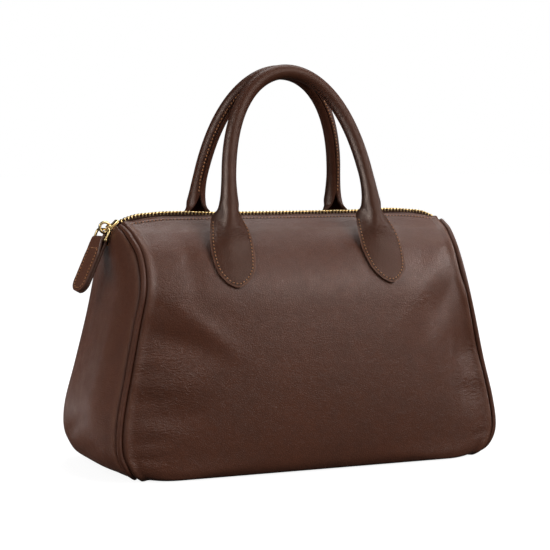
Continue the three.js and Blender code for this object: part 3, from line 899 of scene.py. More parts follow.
def set_attribute(piece: bpy.types.Object, name: str, values: np.ndarray) -> None:
    """Stores a value for each vertex, for the materials to read."""
    stored = piece.data.attributes.new(name, "FLOAT", "POINT")
    stored.data.foreach_set("value", values.astype(np.float32).ravel())


def apply_modifier(piece: bpy.types.Object, kind: str, **settings: object) -> None:
    """Adds a modifier to a piece and applies it.

    Args:
        piece: The piece.
        kind: The modifier's type.
        **settings: The modifier's own settings.
    """
    activate(piece)
    added = piece.modifiers.new(kind.lower(), kind)
    for key, value in settings.items():
        setattr(added, key, value)
    bpy.ops.object.modifier_apply(modifier=added.name)


def thicken(piece: bpy.types.Object, thickness: float, rounding: float, offset: float = -1.0) -> None:
    """Gives a sheet its thickness, with its rim in its second material.

    Args:
        piece: The sheet.
        thickness: The wall, in millimetres.
        rounding: How far the rim's edges are rounded, in millimetres.
        offset: -1 to grow inwards from the sheet, 0 to grow both ways.
    """
    apply_modifier(piece, "SOLIDIFY", thickness=thickness * MM, offset=offset, material_offset_rim=1)
    if rounding:
        apply_modifier(
            piece,
            "BEVEL",
            width=rounding * MM,
            segments=2,
            limit_method="ANGLE",
            angle_limit=BEVEL_ANGLE,
        )
    activate(piece)
    bpy.ops.object.shade_smooth_by_angle(angle=SMOOTH_ANGLE)


def dress(piece: bpy.types.Object, body: Body, slot: Slot | None, *nodes: str) -> bpy.types.Object:
    """Fastens a finished piece to its body, and hides the CAD nodes that it stands for.

    Args:
        piece: The piece, in place.
        body: The body that it moves with.
        slot: The record's slot for its finish, if it has one. Not used.
        *nodes: The CAD nodes that it stands for.

    Returns:
        The piece.
    """
    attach(piece, body.value)
    if nodes:
        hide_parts(*nodes)
    log.info("%s: %d faces", piece.name, len(piece.data.polygons))
    return piece


def add_tube(
    name: str, points: np.ndarray, radius: float, sides: int, closed: bool = False
) -> bpy.types.Object:
    """Adds a round tube along points, as a mesh.

    Args:
        name: The piece's name.
        points: The middle line, in millimetres.
        radius: The tube's radius, in millimetres.
        sides: How finely the tube is rounded.
        closed: True where the end meets the start.

    Returns:
        The tube.
    """
    curve = bpy.data.curves.new(name, "CURVE")
    curve.dimensions = "3D"
    curve.bevel_depth = radius * MM
    curve.bevel_resolution = sides
    curve.use_fill_caps = not closed
    line = curve.splines.new("POLY")
    line.points.add(len(points) - 1)
    line.points.foreach_set("co", np.c_[points * MM, np.ones(len(points))].ravel())
    line.use_cyclic_u = closed
    tube = bpy.data.objects.new(name, curve)
    bpy.context.scene.collection.objects.link(tube)
    activate(tube)
    bpy.ops.object.convert(target="MESH")
    made = bpy.context.object
    made.name = made.data.name = name
    bpy.ops.object.shade_smooth()
    return made


def add_block(size: Point, place: Point, bevel: float, segments: int = 3) -> bpy.types.Object:
    """Adds a block with rounded edges, in millimetres in its own frame.

    Args:
        size: Its length, width and height.
        place: Its middle.
        bevel: How far its edges are rounded.
        segments: How finely they are rounded.

    Returns:
        The block.
    """
    deselect()
    bpy.ops.mesh.primitive_cube_add(size=1)
    made = bpy.context.object
    made.scale, made.location = size, place
    bpy.ops.object.transform_apply()
    bpy.ops.object.mode_set(mode="EDIT")
    bpy.ops.mesh.bevel(offset=bevel, segments=segments, affect="EDGES")
    bpy.ops.object.mode_set(mode="OBJECT")
    return made


def take_mesh(piece: bpy.types.Object) -> tuple[np.ndarray, Faces]:
    """Removes a piece, and keeps its shape for copies.

    Args:
        piece: The piece.

    Returns:
        Its points and its faces.
    """
    points = np.array([vertex.co for vertex in piece.data.vertices])
    faces = [tuple(face.vertices) for face in piece.data.polygons]
    bpy.data.objects.remove(piece)
    return points, faces


def add_copies(name: str, placed: list[np.ndarray], faces: Faces) -> bpy.types.Object:
    """Adds one piece made of placed copies of a shape.

    Args:
        name: The piece's name.
        placed: The points of each copy, in millimetres.
        faces: The faces of one copy.

    Returns:
        The piece, active.
    """
    count = len(placed[0])
    copied = [tuple(k * count + i for i in face) for k in range(len(placed)) for face in faces]
    mesh = bpy.data.meshes.new(name)
    mesh.from_pydata((np.concatenate(placed) * MM).tolist(), [], copied)
    piece = bpy.data.objects.new(name, mesh)
    bpy.context.scene.collection.objects.link(piece)
    activate(piece)
    return piece


def join(name: str, pieces: list[bpy.types.Object], place: Matrix) -> bpy.types.Object:
    """Joins pieces that are modelled in millimetres, and puts them in place.

    Args:
        name: The joined piece's name.
        pieces: The pieces.
        place: Their own frame, in metres.

    Returns:
        The joined piece.
    """
    activate(pieces[0])
    for piece in pieces:
        piece.select_set(True)
    bpy.ops.object.join()
    joined = bpy.context.object
    joined.name = joined.data.name = name
    joined.data.transform(place @ Matrix.Scale(MM, 4))
    bpy.ops.object.shade_smooth_by_angle(angle=SMOOTH_ANGLE)
    return joined


@dataclass(frozen=True)
class Stitching:
    """Rows of stitches. One stitch is modelled, and copied along each row.

    sink: how deep it sits in the leather. droop: how far its ends go down, as a share of its height.
    slant: its angle to the row, in degrees. hole: a needle hole's size, as shares of the stitch's.
    Each needle hole is a dark blob of painted shade.
    """

    thread: str = "tan thread"
    length: float = 2.25
    width: float = 0.95
    height: float = 0.6
    pitch: float = 3.2
    sink: float = 0.06
    droop: float = 0.55
    slant: float = 7.0
    hole_shade: Point = (0.6, 1.5, 0.45)

    def one(self) -> tuple[np.ndarray, Faces]:
        """Models one stitch, slanted across X.

        Returns:
            Its points in millimetres, and its faces.
        """
        deselect()
        bpy.ops.mesh.primitive_uv_sphere_add(segments=8, ring_count=6, radius=0.5)
        stitch = bpy.context.object
        stitch.rotation_euler = (0, math.pi / 2, 0)
        stitch.scale = (self.height, self.width, self.length)
        bpy.ops.object.transform_apply()
        points, faces = take_mesh(stitch)
        points[:, 2] -= self.height * self.droop * (2 * points[:, 0] / self.length) ** 2
        slant = math.radians(self.slant)
        turn = np.array([[math.cos(slant), math.sin(slant)], [-math.sin(slant), math.cos(slant)]])
        points[:, :2] = points[:, :2] @ turn
        return points, faces

    def sew(self, name: str, rows: list[tuple[np.ndarray, np.ndarray]], body: Body) -> bpy.types.Object:
        """Sews rows of stitches as one piece, with painted shade for a needle hole at the end of each.

        Args:
            name: The piece's name.
            rows: For each row, the points of its line and the outward normals there.
            body: The body that it moves with.

        Returns:
            The stitches.
        """
        points, faces = self.one()
        half = self.length / 2
        placed = []
        for line, normals in rows:
            along = walk(line)
            count = max(2, round(along[-1] / self.pitch))
            gap = along[-1] / count
            for distance in (np.arange(count) + 0.5) * gap:
                middle = at_distance(distance, along, line)
                start, end = (at_distance(distance + k * half, along, line) for k in (-1, 1))
                ahead = (end - start) / max(np.linalg.norm(end - start), 1e-9)
                up = at_distance(distance, along, normals)
                up -= ahead * (up @ ahead)
                up /= np.linalg.norm(up)
                axes = np.stack([ahead, np.cross(up, ahead), up])
                placed.append(points @ axes + middle + up * (self.height / 2 - self.sink))
                # A dark blob of painted shade stands for the needle hole.
                placed.append(points * self.hole_shade @ axes + middle + ahead * gap / 2)
        sewn = add_copies(name, placed, faces)
        for finish in (self.thread, "hole_shade"):
            sewn.data.materials.append(MATERIALS[finish])
        finish_of_face = np.arange(len(sewn.data.polygons)) // len(faces) % 2
        sewn.data.polygons.foreach_set("material_index", finish_of_face.astype(np.int32))
        bpy.ops.object.shade_smooth()
        return dress(sewn, body, None)


STITCHES = Stitching()
EDGE_STITCHES = Stitching(thread="brown thread", hole_shade=(0.8, 2.0, 0.9))
PULL_STITCHES = Stitching(length=2.2, width=0.9, height=0.55, pitch=2.9)
MATERIALS = {
    "body": BODY_LEATHER.material(),
    "handle": HANDLE_LEATHER.material(),
    "pull": LIGHTENED_PULL_LEATHER.material(),
    "edge": CUT_EDGE.material(),
    "tan thread": TAN_THREAD.material(),
    "brown thread": BROWN_THREAD.material(),
    "hole_shade": NEEDLE_HOLE_SHADE.material(),
    "brass": BRASS.material(),
    "tape": TAPE_CLOTH.material(),
}


def give_leather(piece: bpy.types.Object, leather: str) -> None:
    """Gives a sheet its leather, and the cut edge for its rim."""
    piece.data.materials.append(MATERIALS[leather])
    piece.data.materials.append(MATERIALS["edge"])


class Mark(NamedTuple):
    """A line beside an edge: its strength, its distance from the edge and its reach."""

    strength: float
    distance: float
    reach: float

    def at(self, from_edge: np.ndarray) -> np.ndarray:
        """How strong it is at distances from the edge."""
        return self.strength * bell(from_edge - self.distance, self.reach)


@dataclass(frozen=True)
class SeamEdge:
    """How a panel's edge swells, and turns in towards the piping."""

    swell: Mark
    turn_in: Mark
    room: float = 1.9

    def relief(self, distance: np.ndarray, fullness: np.ndarray | float = 1.0) -> np.ndarray:
        """How far the panel is raised at distances from its edge, with a share of the full swell."""
        return fullness * self.swell.at(distance) - self.turn_in.at(distance)


WRAP_EDGE = SeamEdge(swell=Mark(1.6, 3.6, 3.2), turn_in=Mark(1.3, 0, 1.1))
PANEL_EDGE = SeamEdge(swell=Mark(0.3, 3.6, 3.2), turn_in=Mark(0.9, 0, 1.0))


@dataclass(frozen=True)
class BodyWrap:
    """The leather of the front, base and back in one piece.

    base_level: where the base's rows begin. right_room, right_lift: the right seam's own room and swell.
    foot_swell: how much fuller the seams' swell is at the foot. foot_low, foot_fade: where that fades.
    """

    leather: float = 2.0
    columns: int = 151
    front_rows: int = 150
    base_rows: int = 26
    back_rows: int = 92
    base_level: float = 10.6
    stitch_level: float = 0.37
    stitch_reach: float = 147.0
    stitch_points: int = 160
    right_room: float = 2.4
    right_lift: Mark = Mark(1.0, 0, 3)
    foot_swell: float = 1.3
    foot_low: float = 4.0
    foot_fade: float = 16.0
    zip_lip: Mark = Mark(0.5, 0, 1.1)
    # Painted shade in the groove beside the piping, at the zip's edge and along the stitches beside the
    # zip.
    seam_groove_shade: Mark = Mark(0.4, 0, 1.1)
    zip_groove_shade: Mark = Mark(0.4, 0, 0.8)
    stitch_groove_shade: Mark = Mark(0.6, 4.4, 0.9)
    seam_wear: Mark = Mark(0.4, 4, 2.5)
    zip_wear: Mark = Mark(0.3, 2, 1.5)

    def levels(self) -> np.ndarray:
        """Spaces the wrap's rows, closer together at the zip and the base.

        Returns:
            Their levels, from the back's zip edge to the front's.
        """
        last = 2 * FORM.last
        front = (eased(self.front_rows) + 1) / 2 * self.base_level
        base = np.linspace(self.base_level, last - self.base_level, self.base_rows)[1:-1]
        back = last - (eased(self.back_rows)[::-1] + 1) / 2 * self.base_level
        return np.concatenate([front, base, back])[::-1]

    def build(self) -> bpy.types.Object:
        """Models the wrap and its creases.

        Returns:
            The wrap.
        """
        level, share = np.meshgrid(self.levels(), eased(self.columns), indexing="ij")
        right = share > 0
        reach = FORM.at(level).seam_x - np.where(right, self.right_room, WRAP_EDGE.room)
        x = share * reach
        points = FORM.wrap(level, x)
        normals = grid_normals(points)
        from_seam = reach - np.abs(x)
        walked = walk(points)
        from_zip = np.minimum(walked, walked[-1] - walked)
        foot = 1 - np.clip((points[..., 2] - self.foot_low) / self.foot_fade, 0, 1)
        relief = WRAP_EDGE.relief(from_seam, 1 + (self.foot_swell - 1) * foot) + self.zip_lip.at(from_zip)
        relief += np.where(right, self.right_lift.at(from_seam), 0)
        points[..., 2] = np.maximum(points[..., 2] + normals[..., 2] * relief, 0)
        points[..., :2] += normals[..., :2] * relief[..., None]
        wrap = add_sheet("leather_wrap", points)
        give_leather(wrap, "body")
        front, back = (crease_mask(table, x, points[..., 2]) for table in (FRONT_CREASES, BACK_CREASES))
        set_attribute(wrap, "crease", np.where(level < FORM.last, front, back))
        # Painted shade in the grooves beside the piping, at the zip's edge and along its stitches.
        zip_side_shade = np.maximum(self.zip_groove_shade.at(from_zip), self.stitch_groove_shade.at(from_zip))
        set_attribute(wrap, "groove_shade", np.maximum(self.seam_groove_shade.at(from_seam), zip_side_shade))
        set_attribute(wrap, "wear", self.seam_wear.at(from_seam) + self.zip_wear.at(from_zip))
        thicken(wrap, self.leather, 0)
        return dress(wrap, Body.BAG, Slot.BODY, "body_wrap")

    def sew(self) -> None:
        """Sews the rows of stitches beside the zip."""
        x = np.linspace(-self.stitch_reach, self.stitch_reach, self.stitch_points)
        step = 0.05
        rows = []
        for side in Side:
            start = self.stitch_level if side is Side.FRONT else 2 * FORM.last - self.stitch_level
            higher, line, lower = (FORM.wrap(np.full_like(x, start + k * step), x) for k in (-1, 0, 1))
            normals = np.cross(lower - higher, np.gradient(line, axis=0))
            rows.append((line, normals / np.linalg.norm(normals, axis=1, keepdims=True)))
        EDGE_STITCHES.sew("zip_edge_stitches", rows, Body.BAG)


@dataclass(frozen=True)
class EndPanel:
    """The arched panel at one end of the bag, notched for the zip.

    top, foot: the levels of its first row and of the row where it turns under. slot_share: the most of
    its half width that the notch's columns take up. foot_out, foot_drop: how far out and down from the
    piping its lower edge is. stitch_levels: from the zip to below the notch. stitch_lean: how far the
    stitches' normal leans out and up.
    """

    end: End
    leather: float = 2.0
    top: float = 0.7
    foot: float = 10.2
    rows: int = 104
    foot_rows: int = 9
    side_columns: int = 40
    slot_columns: int = 5
    slot_half: float = 5.6
    slot_share: float = 0.6
    slot_bottom: float = 189.0
    foot_out: float = 0.6
    foot_drop: float = 1.1
    foot_points: int = 200
    stitch_inset: float = 2.6
    stitch_levels: tuple[float, float] = (1.0, 2.62)
    stitch_lean: tuple[float, float] = (0.94, 0.34)
    side_points: int = 24
    turn_points: int = 9
    # Painted shade in the groove beside the piping.
    groove_shade: Mark = Mark(1, 0, 1)
    wear: Mark = Mark(0.5, 4, 2.5)

    def across(self, level: np.ndarray) -> np.ndarray:
        """Spaces the panel's columns, with two of them on the notch's sides.

        Args:
            level: The levels of the panel's rows.

        Returns:
            For each level, places from the front seam to the back one.
        """
        step, inner = 0.05, 0.9
        seam = np.ones_like(level)
        slope = FORM.end_panel(self.end, level + step, seam) - FORM.end_panel(self.end, level - step, seam)
        along = slope / np.linalg.norm(slope, axis=1, keepdims=True)
        edge = FORM.end_panel(self.end, level, seam) - FORM.end_panel(self.end, level, seam * inner)
        room = np.linalg.norm(np.cross(edge / (1 - inner), along), axis=1)
        reach = 1 - PANEL_EDGE.room / room
        slot = np.minimum(self.slot_half / FORM.at(level).seam_y, reach * self.slot_share)
        part = (eased(self.side_columns) + 1) / 2
        outer = slot[:, None] + (reach - slot)[:, None] * part
        middle = slot[:, None] * np.linspace(-1, 1, self.slot_columns + 2)[1:-1]
        return np.concatenate([-outer[:, ::-1], middle, outer], axis=1)

    def foot_line(self, y: np.ndarray) -> np.ndarray:
        """Lays the panel's lower edge, beside the piping along the base.

        Args:
            y: Places from front to back.

        Returns:
            A point for each place.
        """
        seam = FORM.at(np.linspace(self.foot, FORM.last, self.foot_points))
        x, z = (np.interp(-np.abs(y), -seam.seam_y, values) for values in (seam.seam_x, seam.seam_z))
        out = self.end.value * (x + PANEL_EDGE.room + self.foot_out)
        return np.stack([out, y, z - self.foot_drop], axis=-1)

    def build(self) -> bpy.types.Object:
        """Models the panel, cuts the notch and gives it its thickness.

        Returns:
            The panel.
        """
        levels = np.linspace(self.top, self.foot, self.rows)
        across = self.across(levels)
        level = np.repeat(levels[:, None], across.shape[1], axis=1)
        points = FORM.end_panel(self.end, level, across)
        last = points[-1]
        low = self.foot_line(last[:, 1])
        share = np.linspace(0, 1, self.foot_rows + 1)[1:, None, None]
        points = np.concatenate([points, last + (low - last) * share])
        depth = dent_depth(END_DENTS, points[..., 1] * -self.end.value, points[..., 2])
        points[..., 0] -= self.end.value * depth * np.clip(points[..., 2] / BASE_FADE, 0, 1)
        points = facing(points, (self.end.value, 0, 0), self.rows // 2, across.shape[1] // 2)
        walked = walk(points, axis=1)
        from_side = np.minimum(walked, walked[:, -1:] - walked)
        from_seam = np.minimum(from_side, np.linalg.norm(points - points[-1], axis=2))
        points = points + grid_normals(points) * PANEL_EDGE.relief(from_seam)[..., None]
        points[..., 2] = np.maximum(points[..., 2], 0)
        panel = add_sheet(f"leather_end_{self.end.name.lower()}", points)
        give_leather(panel, "body")
        set_attribute(panel, "crease", crease_mask(END_CREASES, points[..., 1], points[..., 2]))
        set_attribute(panel, "groove_shade", self.groove_shade.at(from_seam))
        set_attribute(panel, "wear", self.wear.at(from_seam))
        self.cut_notch(panel)
        thicken(panel, self.leather, 0)
        return dress(panel, Body.BAG, Slot.BODY, f"end_panel_{self.end.name.lower()}")

    def cut_notch(self, panel: bpy.types.Object) -> None:
        """Deletes the faces inside the notch.

        Args:
            panel: The panel, one layer thin.
        """
        activate(panel)
        bpy.context.tool_settings.mesh_select_mode = (False, False, True)
        for face in panel.data.polygons:
            inside = abs(face.center.y) < self.slot_half * MM
            face.select = inside and face.center.z > self.slot_bottom * MM
        bpy.ops.object.mode_set(mode="EDIT")
        bpy.ops.mesh.delete(type="FACE")
        bpy.ops.object.mode_set(mode="OBJECT")

    def stitch_row(self) -> tuple[np.ndarray, np.ndarray]:
        """Lays the stitches round the notch.

        Returns:
            The points of their line, and the normals there.
        """
        levels = np.linspace(*self.stitch_levels, self.side_points)
        across = (self.slot_half + self.stitch_inset) / FORM.at(levels).seam_y
        front, back = (FORM.end_panel(self.end, levels, sign * across) for sign in (-1, 1))
        bend = np.linspace(0, 1, self.turn_points)[1:-1, None]
        lower = front[-1] * (1 - bend) + back[-1] * bend
        line = np.concatenate([front, lower, back[::-1]])
        out, up = self.stitch_lean
        return line, np.tile([self.end.value * out, 0, up], (len(line), 1))


@dataclass(frozen=True)
class Piping:
    """The leather cord in the seam of one end."""

    end: End
    radius: float = 2.3
    start: float = 0.45
    steps: int = 320
    sides: int = 3

    def build(self) -> bpy.types.Object:
        """Models the cord from beside the zip, under the base and up the back.

        Returns:
            The cord.
        """
        levels = np.linspace(self.start, 2 * FORM.last - self.start, self.steps)
        name = self.end.name.lower()
        cord = add_tube(f"leather_piping_{name}", FORM.seam(self.end, levels), self.radius, self.sides)
        cord.data.materials.append(MATERIALS["body"])
        return dress(cord, Body.BAG, Slot.BODY, f"piping_{name}")


class StrapRow(NamedTuple):
    """A row of a handle's tab.

    width: of the flat strap. angle: half of the arc that the whole strap is bent into. ridge: how steeply
    the ridge over the roll's core stands on top of that. on_wall: 1 where the row lies on the wall, and 0
    where it has left it. closed: 1 where the strap's edges meet. crest: how far to the front the ridge is.
    """

    height: float
    width: float
    angle: float
    ridge: float
    x: float
    on_wall: float
    closed: float
    crest: float


TAB_ROWS = (
    StrapRow(155.5, 3, 3, 0, 71.4, 1, 0, 0),
    StrapRow(158, 14, 4, 0, 71.3, 1, 0, 0),
    StrapRow(162, 23.5, 5, 0, 71, 1, 0, 0),
    StrapRow(167.5, 32, 7, 0, 70.7, 1, 0, 0),
    StrapRow(175.5, 37, 11, 0, 70.2, 1, 0, 0),
    StrapRow(187, 39.5, 18, 4, 69.7, 0, 0, 58.2),
    StrapRow(196.5, 40, 30, 6, 69.2, 0, 0, 55),
    StrapRow(205, 40, 46, 12, 68.5, 0, 0, 52.6),
    StrapRow(213, 41, 64, 24, 68, 0, 0, 50.3),
    StrapRow(220, 43, 88, 28, 67.3, 0, 0.25, 48.3),
    StrapRow(225.5, 45, 148, 0, 66.9, 0, 0.8, 46.7),
    StrapRow(232.5, 45, 172, 0, 66.4, 0, 1, 44.9),
)


@dataclass(frozen=True)
class Handle:
    """A handle: one strap of leather, rolled along the arch and opening out into a tab at each end.

    seat: the tab's gap to the wall. closed_angle: half of the arc of the rolled strap, in degrees.
    roll_start: the height of the roll's first row. foot, top, foot_depth, top_depth: heights and depths of
    the arch's ends and top. flare, power, sag: its curve. shift: its place along the bag. ridge_top,
    ridge_foot: where the ridge's slope is steepest and where it ends, as shares of the strap's half width.
    no_rim: the distance from the rim that is given to the rows of the roll.
    """

    side: Side
    leather: float = 2.0
    rounding: float = 0.45
    seat: float = 0.25
    roll_radius: float = 6.5
    strap_width: float = 39.0
    closed_angle: float = 176.0
    roll_start: float = 247.0
    foot: float = 213.5
    top: float = 337.5
    half_width: float = 65.2
    flare: float = 2.4
    power: float = 2.45
    foot_depth: float = 44.5
    top_depth: float = 7.2
    sag: float = 3.3
    shift: float = 0.7
    columns: int = 41
    arch_rows: int = 16
    ridge_top: float = 0.36
    ridge_foot: float = 0.68
    rows: int = 330
    face_row: int = 12
    stitch_inset: float = 2.7
    stitch_top: float = 214.0
    narrowest: float = 0.6
    seam_from: float = 236.0
    seam_inset: float = 1.5
    no_rim: float = 9.0
    neck_creases: Mark = Mark(1.3, 200, 6)
    # Painted shade along the tab's stitch line.
    stitch_groove_shade: Mark = Mark(0.4, 2.7, 0.8)
    # Lighter rim round the tabs: partly wear, partly a painted highlight on the rounded edge.
    rim_wear_and_highlight: Mark = Mark(1.4, 0, 1.5)
    top_wear: Mark = Mark(0.35, 4, 8)

    @property
    def arch_normal(self) -> np.ndarray:
        """The front arch's outward normal."""
        lean = math.atan2(self.foot_depth - self.top_depth, self.top - self.foot)
        return np.array([0, -math.cos(lean), math.sin(lean)])

    def arch_point(self, rise: float) -> np.ndarray:
        """Finds the roll's middle on the right half of the front arch.

        Args:
            rise: From 0 at the arch's foot to 1 at its top.

        Returns:
            The point.
        """
        x = self.half_width * math.sqrt(max(0, 1 - rise**self.power)) + self.flare * (1 - rise) ** 3
        depth = self.foot_depth + (self.top_depth - self.foot_depth) * rise - self.sag * rise * (1 - rise)
        return np.array([x, -depth, self.foot + (self.top - self.foot) * rise])

    def strap_line(self, width: float, angle: float, ridge: float) -> tuple[np.ndarray, np.ndarray]:
        """Bends the strap's outer line.

        Args:
            width: The flat strap's width.
            angle: Half of the arc that it is bent into, in degrees.
            ridge: How steeply the ridge stands on top of that, in degrees.

        Returns:
            Its columns' places sideways, and their heights over its edges.
        """
        fine = 10
        share = np.linspace(0, 1, fine * (self.columns // 2) + 1)
        middle = (share[1:] + share[:-1]) / 2
        falling = smooth_step((self.ridge_foot - middle) / (self.ridge_foot - self.ridge_top))
        bend = np.radians(angle * middle + ridge * np.minimum(middle / self.ridge_top, falling))
        step = width / 2 / len(middle)
        sideways = np.concatenate([[0], np.cumsum(np.cos(bend))])[::fine] * step
        fall = np.concatenate([[0], np.cumsum(np.sin(bend))])[::fine] * step
        lift = fall[-1] - fall
        return np.concatenate([-sideways[:0:-1], sideways]), np.concatenate([lift[:0:-1], lift])

    def tab_section(self, row: StrapRow) -> np.ndarray:
        """Lays the strap's outer face at one row of the tab.

        Args:
            row: The row.

        Returns:
            A point for each column.
        """
        level = FORM.wall_level(row.height, row.x)
        wall_normal = FORM.wall_normal(level, row.x)
        normal = self.arch_normal * (1 - row.on_wall) + wall_normal * row.on_wall
        normal /= np.linalg.norm(normal)
        sideways, lift = self.strap_line(row.width, row.angle, row.ridge)
        lift = lift + self.leather * (1 - row.closed)
        seated = FORM.wrap(np.full(self.columns, level), row.x + sideways, False) + wall_normal * self.seat
        free = np.array([row.x, -row.crest, row.height]) - normal * lift.max()
        free = np.tile(free, (self.columns, 1))
        free[:, 0] = row.x + sideways
        line = free * (1 - row.on_wall) + seated * row.on_wall
        return line + np.outer(lift, normal)

    def arch_section(self, rise: float) -> np.ndarray:
        """Lays the strap's outer face at one place of the roll.

        Args:
            rise: From 0 at the arch's foot to 1 at its top.

        Returns:
            A point for each column.
        """
        step = 1e-3
        ahead = self.arch_point(min(rise + step, 1)) - self.arch_point(max(rise - step, 0))
        ahead = np.array([-1.0, 0, 0]) if rise > 1 - step else ahead / np.linalg.norm(ahead)
        sidewards = np.cross(ahead, self.arch_normal)
        sidewards /= np.linalg.norm(sidewards)
        seam = self.arch_point(rise) - self.arch_normal * self.roll_radius
        sideways, lift = self.strap_line(self.strap_width, self.closed_angle, 0)
        return seam + np.outer(sideways, sidewards) + np.outer(lift, self.arch_normal)

    def outer_face(self) -> np.ndarray:
        """Lays the whole strap's outer face, from the right tab's tip to the left one's.

        Returns:
            Its rows of points, in the order that faces outward.
        """
        start = math.asin((self.roll_start - self.foot) / (self.top - self.foot))
        rises = np.sin(np.linspace(start, math.pi / 2, self.arch_rows))
        half = [self.tab_section(row) for row in TAB_ROWS] + [self.arch_section(rise) for rise in rises]
        right = np.array(half)
        left = right[:-1][::-1] * [-1, 1, 1]
        strap = loft(np.concatenate([right, left]), self.rows)
        strap[..., 0] += self.shift
        strap[..., 1] *= -self.side.value
        return facing(strap, (0, self.side.value, 0), self.face_row, self.columns // 2)

    def build(self) -> bpy.types.Object:
        """Models the strap with its thickness and its cut edges.

        Returns:
            The handle.
        """
        strap = self.outer_face()
        name = self.side.name.lower()
        handle = add_sheet(f"rolled_handle_{name}", strap)
        give_leather(handle, "handle")
        from_rim = np.full(strap.shape[:2], self.no_rim)
        count = self.tab_rows(strap)
        from_rim[:count] = self.rim_distance(strap[:count])
        from_rim[-count:] = self.rim_distance(strap[::-1][:count])[::-1]
        height = strap[..., 2]
        set_attribute(handle, "crease", self.neck_creases.at(height) * (height < self.foot))
        set_attribute(handle, "groove_shade", self.stitch_groove_shade.at(from_rim))
        # The rim part of the wear attribute is partly a painted highlight.
        set_attribute(handle, "wear", self.rim_wear_and_highlight.at(from_rim) + self.top_wear.at(height - self.top))
        thicken(handle, self.leather, self.rounding)
        return dress(handle, Body.BAG, Slot.HANDLE, f"handle_{name}")

    def tab_rows(self, strap: np.ndarray) -> int:
        """The number of the strap's first rows that lie below the top of the tab's stitches."""
        return int(np.argmax(strap[:, self.columns // 2, 2] > self.stitch_top))

    def tab_size(self, tab: np.ndarray) -> tuple[np.ndarray, np.ndarray]:
        """How far each row of a tab is from its tip, and half of the row's width."""
        return walk(tab[:, self.columns // 2]), walk(tab, axis=1)[:, -1] / 2

    def rim_distance(self, tab: np.ndarray) -> np.ndarray:
        """Measures how far a tab's points lie from its rim.

        Args:
            tab: Its rows of points, from its tip up.

        Returns:
            A distance for each point.
        """
        along, half = self.tab_size(tab)
        across = np.abs(np.linspace(-1, 1, self.columns)) * half[:, None]
        gap = np.hypot(along[:, None, None] - along, across[..., None] - half)
        return gap.min(axis=2)

    def sew(self) -> None:
        """Sews the stitches round both tabs and along the roll's seam."""
        strap = self.outer_face()
        normals = grid_normals(strap)
        rows = [self.tab_row(strap, normals), self.tab_row(strap[::-1], normals[::-1])]
        rolled = np.flatnonzero(strap[:, self.columns // 2, 2] > self.seam_from)
        column = self.seam_inset / walk(strap, axis=1)[rolled, -1] * (self.columns - 1)
        line, outward = (on_grid(grid, rolled.astype(float), column) for grid in (strap, normals))
        rows.append((line, outward))
        STITCHES.sew(f"handle_stitches_{self.side.name.lower()}", rows, Body.BAG)

    def tab_row(self, strap: np.ndarray, normals: np.ndarray) -> tuple[np.ndarray, np.ndarray]:
        """Lays the stitches round the tab at the strap's first row.

        Args:
            strap: The strap's outer face.
            normals: The normals of its points.

        Returns:
            The points of the stitches' line, and the normals there.
        """
        count = self.tab_rows(strap)
        along, half = self.tab_size(strap[:count])
        up, out = np.gradient(along), np.gradient(half)
        size = np.hypot(up, out)
        inner_along = along + self.stitch_inset * out / size
        inner_half = half - self.stitch_inset * up / size
        kept = inner_half > self.narrowest
        inner_along, inner_half = inner_along[kept], inner_half[kept]
        row = np.interp(inner_along, along, np.arange(count))
        share = inner_half / np.interp(inner_along, along, half)
        first, second = ((1 + sign * share) / 2 * (self.columns - 1) for sign in (-1, 1))
        rows = np.concatenate([row[::-1], row])
        columns = np.concatenate([first[::-1], second])
        return on_grid(strap, rows, columns), on_grid(normals, rows, columns)


ZIP_LINE = (
    (-162.6, 190.5),
    (-160.6, 195.6),
    (-157.8, 200.5),
    (-154.4, 204.6),
    (-148.6, 209),
    (-139, 212.7),
    (-120, 215),
    (-60, 214.6),
    (60, 214.6),
    (120, 215),
    (139, 212.7),
    (150, 208),
    (157, 203.3),
    (162.4, 197.4),
    (166, 190.5),
)


class TapePoint(NamedTuple):
    """A point of the tape's section, along the top and in the end panels' notch."""

    across: float
    drop: float
    end_across: float
    end_drop: float


TAPE_SECTION = (
    TapePoint(1.9, -0.9, 1.9, -0.9),
    TapePoint(2.7, -0.7, 2.7, -0.7),
    TapePoint(3.2, 0.6, 3.2, 0.3),
    TapePoint(6.4, 5.2, 4.5, 0.6),
    TapePoint(11.5, 7.8, 5.2, 0.9),
)


